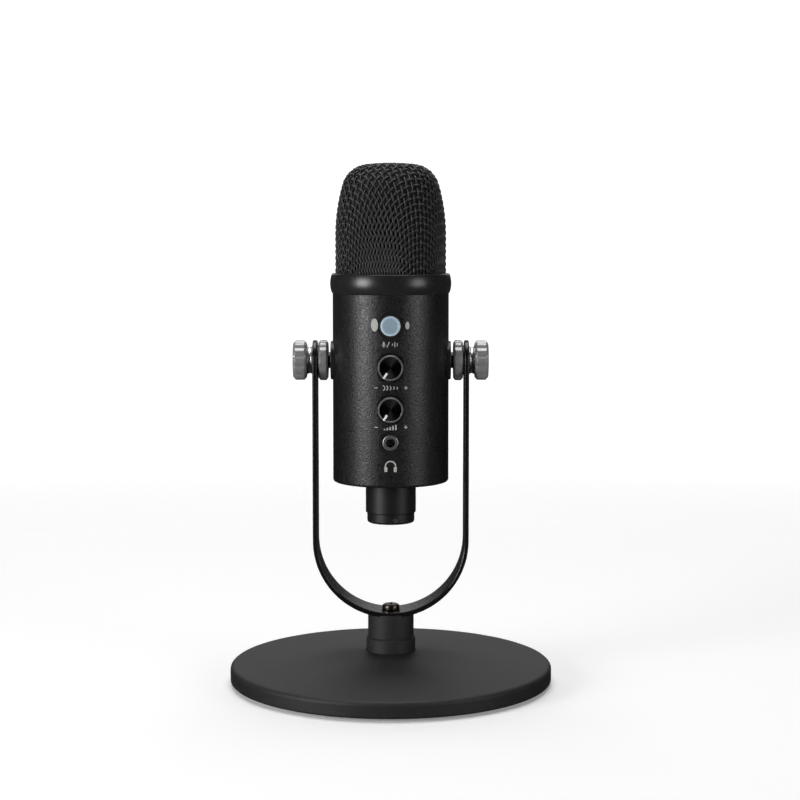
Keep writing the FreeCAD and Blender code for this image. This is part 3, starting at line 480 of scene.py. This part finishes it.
def dome_profile():
    """Points and outward normals down the cloth's middle surface, from the top into the collar."""
    low, high = box_mm("grille_outer_mesh")
    inset = WIRE_RADIUS + WIRE_CRIMP + WIRE_GAP
    wall, top, foot = high[0], high[2], low[2]
    crown_z = top - CROWN_ROUND
    corner_z = crown_z + math.sqrt((CROWN_ROUND - CORNER_ROUND) ** 2 - CORNER_CENTRE_R ** 2)
    shoulder_r = wall - SHOULDER_ROUND
    across = CORNER_CENTRE_R - shoulder_r
    shoulder_z = corner_z - math.sqrt((SHOULDER_ROUND - CORNER_ROUND) ** 2 - across ** 2)
    corner_start = math.atan2(corner_z - crown_z, CORNER_CENTRE_R)
    corner_end = math.atan2(corner_z - shoulder_z, across)
    arcs = [(0.0, crown_z, CROWN_ROUND, math.pi / 2, corner_start),
            (CORNER_CENTRE_R, corner_z, CORNER_ROUND, corner_start, corner_end),
            (shoulder_r, shoulder_z, SHOULDER_ROUND, corner_end, 0.0)]
    points, normals = [], []
    for centre_r, centre_z, radius, start, end in arcs:
        for angle in np.linspace(start, end, POINTS_PER_ARC):
            normal = np.array([math.cos(angle), math.sin(angle)])
            points.append(np.array([centre_r, centre_z]) + (radius - inset) * normal)
            normals.append(normal)
    for z in np.linspace(shoulder_z, foot, POINTS_DOWN_WALL)[1:]:
        points.append(np.array([wall - inset, z]))
        normals.append(np.array([1.0, 0.0]))
    return np.array(points), np.array(normals)


class Dome:
    """The dome that the wires lie on, as a surface of revolution about Z."""

    def __init__(self):
        self.points, self.normals = dome_profile()
        steps = np.linalg.norm(np.diff(self.points, axis=0), axis=1)
        self.lengths = np.concatenate([[0.0], np.cumsum(steps)])
        self.foot = self.points[-1, 1]

    def nearest(self, place):
        """Signed distance from the surface, and the outward normal there."""
        reach = math.hypot(place[0], place[1])
        offsets = np.array([reach, place[2]]) - self.points
        i = int(np.argmin((offsets ** 2).sum(axis=1)))
        normal = self.normals[i]
        outward = np.array([place[0], place[1], 0.0]) / max(reach, 1e-9) * normal[0]
        outward[2] = normal[1]
        return float(offsets[i] @ normal), outward

    def down_axis(self, length):
        """The point over the X axis at a distance from the top, measured along the surface."""
        r = np.interp(length, self.lengths, self.points[:, 0])
        return np.array([r, 0.0, np.interp(length, self.lengths, self.points[:, 1])])

    def next_crossing(self, first, second, corner):
        """The crossing one pitch from two others, on the far side from their shared corner.
        It is found by Newton's method. None means that it would be off the cloth."""
        place = first + second - corner
        for _ in range(NEWTON_STEPS):
            distance, normal = self.nearest(place)
            rows = np.array([place - first, place - second, normal])
            errors = [((place - known) @ (place - known) - WIRE_PITCH ** 2) / 2
                      for known in (first, second)]
            try:
                step = np.linalg.solve(rows, [*errors, distance])
            except np.linalg.LinAlgError:
                return None
            place = place - step
            if np.linalg.norm(step) > 3 * WIRE_PITCH:
                return None
        is_on_cloth = place[2] > self.foot and abs(self.nearest(place)[0]) < OFF_CLOTH_LIMIT
        return place if is_on_cloth else None


def quarter_net(dome):
    """Wire crossings over one quarter of the dome, by their numbers along the two families."""
    net = {(0, 0): dome.down_axis(0.0)}
    count = int(dome.lengths[-1] / WIRE_PITCH)
    for i in range(1, count + 1):
        net[i, 0] = dome.down_axis(i * WIRE_PITCH)
        net[0, i] = net[i, 0][[1, 0, 2]]
    for total in range(2, 2 * count):
        for i in range(1, total):
            j = total - i
            known = [net.get(key) for key in ((i - 1, j), (i, j - 1), (i - 1, j - 1))]
            if all(place is not None for place in known):
                place = dome.next_crossing(*known)
                if place is not None:
                    net[i, j] = place
    return {key: spread(place, *key) for key, place in net.items()}, count


def spread(place, i, j):
    """Moves a crossing part of the way round to where evenly spread cloth would have it."""
    azimuth = math.atan2(place[1], place[0])
    azimuth += (1 - SHEAR_SHARE) * (math.atan2(j, i) - azimuth)
    reach = math.hypot(place[0], place[1])
    return np.array([reach * math.cos(azimuth), reach * math.sin(azimuth), place[2]])


def smooth_line(knots, steps):
    """Points along a smooth curve through the knots (a Catmull-Rom spline)."""
    padded = np.vstack([2 * knots[0] - knots[1], knots, 2 * knots[-1] - knots[-2]])
    fraction = (np.arange(steps) / steps)[:, None, None]
    before, start, end, after = (padded[i:len(padded) - 3 + i][None] for i in range(4))
    curve = 0.5 * (2 * start + (end - before) * fraction
                   + (2 * before - 5 * start + 4 * end - after) * fraction ** 2
                   + (3 * start - before - 3 * end + after) * fraction ** 3)
    return np.vstack([curve.transpose(1, 0, 2).reshape(-1, 3), knots[-1]])


def tube(centre, normal, radius, sides):
    """Rings of points round a line, and the faces between them with closed ends."""
    tangent = np.gradient(centre, axis=0)
    tangent /= np.linalg.norm(tangent, axis=1, keepdims=True)
    side = np.cross(tangent, normal)
    side /= np.linalg.norm(side, axis=1, keepdims=True)
    out = np.cross(side, tangent)
    angles = (np.arange(sides) * math.tau / sides)[None, :, None]
    ring = np.cos(angles) * out[:, None, :] + np.sin(angles) * side[:, None, :]
    points = centre[:, None, :] + radius * ring
    faces = grid_faces(len(centre), sides, close_rows=False)
    faces.append(tuple(range(sides))[::-1])
    faces.append(tuple(range((len(centre) - 1) * sides, len(centre) * sides)))
    return points.reshape(-1, 3), faces


def crimped_wire(dome, net, count, number, family):
    """One wire: a smooth line through its crossings, that goes over and under in turn."""
    places = []
    for i in range(-count, count + 1):
        place = net.get((abs(i), abs(number)) if family == 0 else (abs(number), abs(i)))
        if place is not None:
            signs = (i, number) if family == 0 else (number, i)
            flips = [1.0 if sign >= 0 else -1.0 for sign in signs]
            places.append(place * np.array([*flips, 1.0]))
    if len(places) < FEWEST_CROSSINGS:
        return None
    knots = np.array(places)
    normals = np.array([dome.nearest(place)[1] for place in knots])
    line = smooth_line(knots, STEPS_PER_PITCH)
    normal = smooth_line(normals, STEPS_PER_PITCH)
    normal /= np.linalg.norm(normal, axis=1, keepdims=True)
    travel = np.arange(len(line)) / STEPS_PER_PITCH - (len(knots) - 1) / 2
    wave = np.cos(math.pi * (travel + number + family))
    return line + normal * (WIRE_CRIMP * wave)[:, None], normal


def wire_grille():
    """All wires of the outer mesh, as one piece."""
    dome = Dome()
    net, count = quarter_net(dome)
    points, faces, start = [], [], 0
    for family in (0, 1):
        for number in range(-count, count + 1):
            wire = crimped_wire(dome, net, count, number, family)
            if wire is None:
                continue
            ring_points, ring_faces = tube(*wire, WIRE_RADIUS, WIRE_SIDES)
            points.append(ring_points)
            faces += [tuple(start + i for i in face) for face in ring_faces]
            start += len(ring_points)
    turn = Matrix.Rotation(math.radians(-90 + WEAVE_TURN_DEG), 4, "Z")
    make_piece("grille_wires", np.concatenate(points), faces, wire_black, "mic", "mesh_black",
               replaces=["grille_outer_mesh"], place=turn, sharp_deg=80.0)


wire_grille()


# ---- Front controls ----------------------------------------------------------------------------

# Distances in from a dial's edge.
CHAMFER_WIDTH = 0.42
LIP_INNER = 0.62
FACE_EDGE = 0.72           # where the sunk face starts
BRIGHT_OUTER = 0.02        # the bright metal lies between these two
BRIGHT_INNER = 0.74

# Distances behind a dial's front.
FACE_SUNK = 0.15
BRIGHT_DEPTH = 0.55

DIAL_DARK = (0.045, 0.045, 0.047)
CHAMFER_BRIGHT = (0.20, 0.21, 0.222)
POINTER_INNER = 2.35       # where the pointer starts, from the dial's middle
POINTER_THICK = 0.12
POINTER_TURN_DEG = -90 - 34    # from +X towards +Z, which is 34 degrees left of straight down


def knob_profile(radius, depth):
    """Half section of a dial: bright chamfer, narrow lip, and a face let in below it."""
    face = depth - FACE_SUNK
    return [(0, 0), (radius - 0.25, 0, 0.15), (radius, 0.3, 0.15), (radius, depth - 0.5, 0.08),
            (radius - CHAMFER_WIDTH, depth, 0.06), (radius - LIP_INNER, depth, 0.06),
            (radius - FACE_EDGE, face, 0.04), (0, face)]


def front_dial(name):
    """A dial with a spun dark face, a bright chamfer and a white pointer."""
    low, high = box_mm(name + "_knob")
    centre = middle_mm(name + "_knob")
    radius, depth = (high[0] - low[0]) / 2, high[1] - low[1]
    place = along((0, -1, 0), (0, high[1], centre[2]))
    spun = machined(name + "_dial_spun", DIAL_DARK, 0.34, centre, (1, 0, 1), line_mm=0.16, spun=0.8)
    bright = machined(name + "_dial_chamfer", CHAMFER_BRIGHT, 0.42, centre, (1, 0, 1), Metallic=0.6)
    dial = turned(name + "_dial", knob_profile(radius, depth), spun, name + "_knob", "dial_dark",
                  segments=192, replaces=[name + "_knob"], place=place)
    dial.data.materials.append(bright)
    inner, outer = (radius - BRIGHT_INNER) * MM, (radius - BRIGHT_OUTER) * MM
    deepest_y = (low[1] + BRIGHT_DEPTH) * MM
    for face in dial.data.polygons:
        middle = face.center
        distance = math.hypot(middle.x, middle.z - centre[2] * MM)
        if inner < distance < outer and middle.y < deepest_y:
            face.material_index = 1
    front_pointer(name, centre, radius, low[1])


def front_pointer(name, centre, radius, front_y):
    """A white bar printed on the dial, from near its middle, over the lip and down the chamfer."""
    angle = math.radians(POINTER_TURN_DEG)
    outward = np.array([math.cos(angle), math.sin(angle)])
    sideways = np.array([-outward[1], outward[0]])
    # Each row is a distance from the dial's middle, half the bar's width there, and how far
    # behind the dial's front the bar's outer side lies.
    stations = [(POINTER_INNER, 0.24, 0.12), (POINTER_INNER + 0.1, 0.38, 0.12),
                (POINTER_INNER + 0.25, 0.42, 0.12), (radius - BRIGHT_INNER, 0.42, 0.12),
                (radius - LIP_INNER, 0.42, -0.03), (radius - CHAMFER_WIDTH, 0.42, -0.03),
                (radius - 0.12, 0.40, 0.33)]
    corners = ((-1, 0.0), (1, 0.0), (1, POINTER_THICK), (-1, POINTER_THICK))
    points = []
    for distance, half_width, behind in stations:
        for across, deeper in corners:
            x, z = distance * outward + across * half_width * sideways
            points.append((x, front_y + behind + deeper, centre[2] + z))
    make_piece(name + "_pointer", np.array(points), bar_faces(len(stations)), pointer_white,
               name + "_knob", "dial_dark")


def mute_cap():
    """A soft-edged cap with a raised rim round a slightly dished face."""
    low, high = box_mm("mute_button")
    centre = middle_mm("mute_button")
    radius, depth = (high[0] - low[0]) / 2, high[1] - low[1]
    corners = [(0, 0), (radius, 0), (radius, depth - 0.02, 0.55), (radius - 0.75, depth, 0.5),
               (radius - 1.0, depth - 0.14, 0.3), (0, depth - 0.22)]
    plastic = button_plastic("mute_button_plastic", centre, radius)
    turned("mute_cap", corners, plastic, "mute_button", "button_pale", replaces=["mute_button"],
           place=along((0, -1, 0), (0, high[1], centre[2])))


front_dial("echo")
front_dial("volume")
mute_cap()


# ---- Printed marks: thin solid ribbons wrapped on to the body -----------------------------------

PRINT_LIFT = 0.03          # how far the ink stands out of the body, and how far it reaches in
BODY_RADIUS = (box_mm("body_tube")[1] - box_mm("body_tube")[0])[0] / 2
MUTE_DROP = 7.2            # how far each row of marks is below the middle of its control
ECHO_DROP = 7.9
VOLUME_DROP = 6.9
PHONES_DROP = 9.0
MINUS_X = -5.6
PLUS_X = 6.0
SIGN_WIDTH = 1.3
PLUS_THICK = 0.36


def wrap_on_body(x, z, lift):
    """A point over the body's curved front, in millimetres."""
    radius = BODY_RADIUS + lift
    return (x, -math.sqrt(radius ** 2 - x ** 2), z)


def printed_mark(name, ribbons):
    """Thin solid marks on the body. A ribbon is a row of pairs of (x, z) edge points."""
    points, faces = [], []
    for ribbon in ribbons:
        start = len(points)
        for first, second in ribbon:
            points += [wrap_on_body(*first, PRINT_LIFT), wrap_on_body(*second, PRINT_LIFT),
                       wrap_on_body(*second, -PRINT_LIFT), wrap_on_body(*first, -PRINT_LIFT)]
        faces += [tuple(start + i for i in face) for face in bar_faces(len(ribbon))]
    make_piece(name, np.array(points), faces, print_white, "mic", "button_pale")


def bar(x, z, width, height):
    """A level or upright bar about a middle point."""
    ends = (x - width / 2, x + width / 2)
    return [((end, z - height / 2), (end, z + height / 2)) for end in ends]


def stroke(points, width):
    """A ribbon of even width along a line of (x, z) points."""
    line = np.array(points, float)
    ahead = np.gradient(line, axis=0)
    ahead /= np.linalg.norm(ahead, axis=1, keepdims=True)
    side = np.stack([ahead[:, 1], -ahead[:, 0]], axis=-1) * width / 2
    return [(tuple(start), tuple(end)) for start, end in zip(line + side, line - side)]


def arc(x, z, radius, start_deg, end_deg, steps):
    """Points along an arc, with angles from +X towards +Z."""
    angles = np.radians(np.linspace(start_deg, end_deg, steps + 1))
    return [(x + radius * math.cos(angle), z + radius * math.sin(angle)) for angle in angles]


def oval(x, z, half_width, half_height, steps=12):
    """An upright oval, as a ribbon that starts and ends narrow."""
    ribbon = []
    for angle in np.linspace(math.pi - 0.12, 0.12, steps + 1):
        across, height = x + half_width * math.cos(angle), half_height * math.sin(angle)
        ribbon.append(((across, z - height), (across, z + height)))
    return ribbon


def minus_and_plus(z):
    """The two signs beside a dial's picture. The plus has its upright in two halves."""
    half = (SIGN_WIDTH - PLUS_THICK) / 2
    middle = (PLUS_THICK + half) / 2
    return [bar(MINUS_X, z, SIGN_WIDTH, 0.32), bar(PLUS_X, z, SIGN_WIDTH, PLUS_THICK),
            bar(PLUS_X, z + middle, PLUS_THICK, half), bar(PLUS_X, z - middle, PLUS_THICK, half)]


def mute_picture(z):
    """A small microphone, a slash, and three bars for sound."""
    x = -2.6
    picture = [oval(x, z + 0.35, 0.36, 0.8), stroke(arc(x, z + 0.05, 0.72, -170, -10, 6), 0.2),
               bar(x, z - 0.95, 0.2, 0.4), stroke([(-1.4, z - 1.1), (-0.4, z + 1.1)], 0.3)]
    heights = (0.8, 2.0, 1.3)
    return picture + [bar(0.75 + 0.95 * i, z, 0.34, height) for i, height in enumerate(heights)]


def echo_picture(z):
    """Five arcs that shrink to the right, for a sound that dies away."""
    return [stroke(arc(-3.4 + 1.4 * i, z, 1.15 - 0.17 * i, -62, 62, 6), 0.36) for i in range(5)]


def volume_picture(z):
    """Five bars that grow to the right from one level."""
    foot = z - 1.05
    heights = [0.5 + 0.4 * i for i in range(5)]
    return [bar(-2.3 + 1.1 * i, foot + height / 2, 0.6, height) for i, height in enumerate(heights)]


def phones_picture(z):
    """Headphones: a band over two ear cups."""
    cups = [bar(side * 1.85, z - 1.35, 1.15, 1.9) for side in SIDES.values()]
    return [stroke(arc(0, z - 0.1, 2.0, -8, 188, 18), 0.5), *cups]


def print_marks():
    """Every printed mark, placed below or beside the control it belongs to."""
    mute_z = middle_mm("mute_button")[2]
    echo_z = middle_mm("echo_knob")[2] - ECHO_DROP
    volume_z = middle_mm("volume_knob")[2] - VOLUME_DROP
    phones_z = middle_mm("headphone_jack")[2] - PHONES_DROP
    printed_mark("mark_wide_pattern", [oval(-6.2, mute_z + 0.4, 1.35, 2.55)])
    printed_mark("mark_narrow_pattern", [oval(6.6, mute_z + 0.2, 0.8, 1.5)])
    printed_mark("mark_mute", mute_picture(mute_z - MUTE_DROP))
    printed_mark("mark_echo", echo_picture(echo_z) + minus_and_plus(echo_z))
    printed_mark("mark_volume", volume_picture(volume_z) + minus_and_plus(volume_z))
    printed_mark("mark_headphones", phones_picture(phones_z))


print_marks()


# ---- Pivot hardware ----------------------------------------------------------------------------

PIVOT_Z = middle_mm("left_spacer")[2]
WHEEL_GREY = (0.38, 0.38, 0.375)
NECK_CHROME = (0.85, 0.84, 0.83)
LOBES = 12
LOBE_FULLNESS = 0.6        # below 1, the lobes are broad and the grooves between them narrow
LOBED_SEGMENTS = 240
WHEEL_LOBE_DEPTH = 0.45
KNOB_LOBE_DEPTH = 0.6
BORE = 2.6                 # radius of the hole that the thumb screw's shank passes through
SHANK_HOLE = 2.5           # radius of the hole in the knob that holds the shank


def lobed(outer_radius, depth):
    """Shallow round lobes, cut only where the turned outline reaches them."""
    def shape(radii, heights, angles):
        wave = (0.5 + 0.5 * np.cos(LOBES * angles)) ** LOBE_FULLNESS
        return np.minimum(radii, outer_radius - depth * (1 - wave))
    return shape


def side_place(side):
    """Places a turned piece on the pivot's axis, with its heights measured outwards."""
    return along((SIDES[side], 0, 0), (0, 0, PIVOT_Z))


def reach_of(node):
    """Inner and outer end of a pivot piece, as distances from the microphone's axis."""
    low, high = box_mm(node)
    return sorted((abs(low[0]), abs(high[0])))


def radius_of(node):
    """Radius of a pivot piece."""
    low, high = box_mm(node)
    return (high[2] - low[2]) / 2


def pivot_hardware(side):
    """One side's inner wheel, polished neck and thumb knob."""
    centre, keep = (0, 0, PIVOT_Z), (0, 1, 1)
    grey = machined(side + "_wheel_grey", WHEEL_GREY, 0.42, centre, keep, line_mm=0.2,
                    Metallic=0.6)
    chrome = machined(side + "_spacer_chrome", NECK_CHROME, 0.34, centre, keep, depth_mm=0.002)

    node = side + "_inner_wheel"
    inner, outer = reach_of(node)
    radius = radius_of(node)
    corners = [(BORE, inner), (radius - 1.0, inner, 0.2), (radius, inner + 0.8, 0.3),
               (radius, outer - 0.8, 0.3), (radius - 1.0, outer, 0.2), (BORE, outer)]
    turned(side + "_wheel", corners, grey, "mic", "wheel_grey", segments=LOBED_SEGMENTS,
           shape=lobed(radius, WHEEL_LOBE_DEPTH), replaces=[node], place=side_place(side))

    node = side + "_spacer"
    inner, outer = reach_of(node)
    radius = radius_of(node)
    corners = [(BORE, inner), (radius, inner, 0.15), (radius, inner + 0.35, 0.15),
               (radius - 0.9, (inner + outer) / 2, 1.2), (radius, outer - 0.35, 0.15),
               (radius, outer, 0.15), (BORE, outer)]
    turned(side + "_neck", corners, chrome, side + "_spacer", "spacer_polished",
           replaces=[node], place=side_place(side))

    node = side + "_thumb_knob"
    inner, outer = reach_of(node)
    radius = radius_of(node)
    corners = [(SHANK_HOLE, inner), (radius - 1.1, inner, 0.25), (radius, inner + 1.0, 0.35),
               (radius, outer - 1.0, 0.35), (radius - 1.1, outer, 0.3), (4.6, outer, 0.2),
               (4.2, outer - 0.35, 0.2), (0, outer - 0.35), (0, outer - 2.0),
               (SHANK_HOLE, outer - 2.0)]
    turned(side + "_thumb_wheel", corners, grey, side + "_knob", "wheel_grey",
           segments=LOBED_SEGMENTS, shape=lobed(radius, KNOB_LOBE_DEPTH), replaces=[node],
           place=side_place(side))


for side in SIDES:
    pivot_hardware(side)


# ---- Threads -----------------------------------------------------------------------------------

# Pitch and depth of a thread, and how far its solid core is below its crest.
STUD_THREAD = (0.94, 0.5, 0.7)
SCREW_THREAD = (0.8, 0.4, 0.6)
ROWS_PER_TURN = 10
END_STEP = 0.15            # the thread grows out of its core from this step at either end


def threaded(name, ends, radius, thread, node, material, body, slot, place=None):
    """A turned piece whose outer wall carries a helical thread."""
    pitch, depth, core_depth = thread
    core = radius - core_depth
    low, high = ends

    def shape(radii, heights, angles):
        phase = np.mod(heights / pitch - angles / math.tau, 1.0)
        groove = depth * np.abs(2 * phase - 1)
        return np.where(radii > core, np.minimum(radii, radius - groove), radii)

    rows = int((high - low) / pitch * ROWS_PER_TURN)
    wall = []
    for row in range(rows + 1):
        height = low + (high - low) * row / rows
        from_end = min(height - low, high - height)
        wall.append((min(radius, core + END_STEP + from_end), height))
    corners = [(0, low), (core, low), *wall, (core, high), (0, high)]
    turned(name, corners, material, body, slot, segments=96, shape=shape, replaces=[node],
           place=place, sharp_deg=50.0)


def threads():
    """The base's stud and the shanks of the two thumb screws."""
    low, high = box_mm("base_stud")
    threaded("stud_thread", (low[2], high[2]), high[0], STUD_THREAD, "base_stud",
             shade_dark_brass, "base", "brass")
    for side in SIDES:
        node = side + "_thumb_stud"
        radius = box_mm(node)[1][2] - PIVOT_Z
        threaded(side + "_stud_thread", reach_of(node), radius, SCREW_THREAD, node,
                 fastener_steel, side + "_knob", "fastener_steel", side_place(side))


threads()


# ---- Studio ------------------------------------------------------------------------------------

AIR_FRONT = 0.17           # light from the room in front of the microphone
AIR_BACK = 0.80            # light from the white sweep behind it
BACKDROP_STRENGTH = 1.15   # what the camera sees behind the floor
BACKDROP_RADIUS = 4.2
FLOOR_RADIUS = 1.2
FLOOR_Z = -0.0002          # just below the foot pad
FLOOR_SOLID = 0.25         # the paper floor is solid out to here
FLOOR_GONE = 0.9           # and has faded out at this part of its radius
PAPER_GREY = (0.90, 0.90, 0.90)
PAPER_WHITE = (0.92, 0.92, 0.92)
LAMP_AIM = (0, 0, 0.12)    # the point that every lamp faces
CAMERA_PLACE = (0.0037, -0.750, 0.1861)
CAMERA_TILT_DEG = 5.45     # how far it looks down
CAMERA_LENS = 84.44        # focal length in millimetres, for a sensor 36 mm wide
SENSOR_WIDTH = 36.0


def floor_paper():
    """White paper that fades away with distance, so that the floor ends without a line."""
    material, tree, shader = new_material("studio_paper", Roughness=0.9,
                                          Emission_Color=(1, 1, 1, 1),
                                          Emission_Strength=0.2)
    shade = blended(tree, noise(tree, 300.0), PAPER_GREY, PAPER_WHITE)
    tree.links.new(shade, shader.inputs["Base Color"])
    distance = axis_distance(tree, (0, 0, 0), (1, 1, 0))
    fade = add(tree, "MapRange", {"Value": distance, "From Min": FLOOR_SOLID,
                                  "From Max": FLOOR_RADIUS * FLOOR_GONE,
                                  "To Min": 1.0, "To Max": 0.0}, interpolation_type="SMOOTHSTEP")
    tree.links.new(fade.outputs[0], shader.inputs["Alpha"])
    return material


def backdrop_glow():
    """An even white light for the backdrop."""
    material = bpy.data.materials.new("studio_glow")
    material.use_nodes = True
    tree = material.node_tree
    tree.nodes.remove(tree.nodes["Principled BSDF"])
    shine = add(tree, "Emission", {"Color": (1, 1, 1, 1), "Strength": BACKDROP_STRENGTH})
    tree.links.new(shine.outputs[0], tree.nodes["Material Output"].inputs["Surface"])
    return material


def room_light():
    """A world that is brighter behind the microphone than in front of it."""
    world = bpy.data.worlds.new("studio_air")
    world.use_nodes = True
    tree = world.node_tree
    direction = add(tree, "SeparateXYZ", {0: add(tree, "TexCoord").outputs["Generated"]})
    strength = ranged(tree, direction.outputs["Y"], AIR_FRONT, AIR_BACK, 0.0, 0.9)
    tree.links.new(strength, tree.nodes["Background"].inputs["Strength"])
    return world


def studio():
    """The floor, the backdrop and the light of the room."""
    scene = bpy.context.scene
    scene.view_settings.view_transform = "Standard"
    scene.world = room_light()
    bpy.ops.mesh.primitive_circle_add(vertices=128, radius=FLOOR_RADIUS, fill_type="NGON",
                                      location=(0, 0, FLOOR_Z))
    floor = bpy.context.object
    floor.name = "studio_floor"
    floor.data.materials.append(floor_paper())
    floor.visible_glossy = False
    bpy.ops.mesh.primitive_uv_sphere_add(segments=64, ring_count=32, radius=BACKDROP_RADIUS)
    backdrop = bpy.context.object
    backdrop.name = "studio_backdrop"
    backdrop.data.materials.append(backdrop_glow())
    for kind in ("diffuse", "glossy", "transmission", "shadow"):
        setattr(backdrop, "visible_" + kind, False)


def softbox(name, azimuth_deg, elevation_deg, distance, width, height, power):
    """A rectangular light that faces the microphone. Azimuth 0 is in front, 90 to the right."""
    azimuth, elevation = math.radians(azimuth_deg), math.radians(elevation_deg)
    level = math.cos(elevation)
    away = Vector((math.sin(azimuth) * level, -math.cos(azimuth) * level, math.sin(elevation)))
    lamp = bpy.data.lights.new(name, "AREA")
    lamp.shape = "RECTANGLE"
    lamp.size, lamp.size_y = width, height
    lamp.energy = power
    light = bpy.data.objects.new(name, lamp)
    light.location = Vector(LAMP_AIM) + away * distance
    light.rotation_mode = "QUATERNION"
    light.rotation_quaternion = (-away).to_track_quat("-Z", "Y")
    light.visible_camera = False
    bpy.context.scene.collection.objects.link(light)


def camera():
    """A camera straight in front, a little above the middle and tilted down."""
    lens = bpy.data.cameras.new("camera")
    lens.lens = CAMERA_LENS
    lens.sensor_width = SENSOR_WIDTH
    view = bpy.data.objects.new("camera", lens)
    view.location = CAMERA_PLACE
    view.rotation_euler = (math.radians(90 - CAMERA_TILT_DEG), 0, 0)
    bpy.context.scene.collection.objects.link(view)
    bpy.context.scene.camera = view


studio()
# Azimuth and elevation in degrees, then distance, width and height in metres, then watts.
softbox("key_left", -54, 8, 1.1, 0.45, 0.5, 8)
softbox("fill_right", 53, 8, 1.1, 0.45, 0.5, 3)
softbox("top", 180, 80, 1.2, 1.0, 1.0, 13)
softbox("sweep", 180, 20, 1.2, 1.3, 0.5, 1.8)
camera()
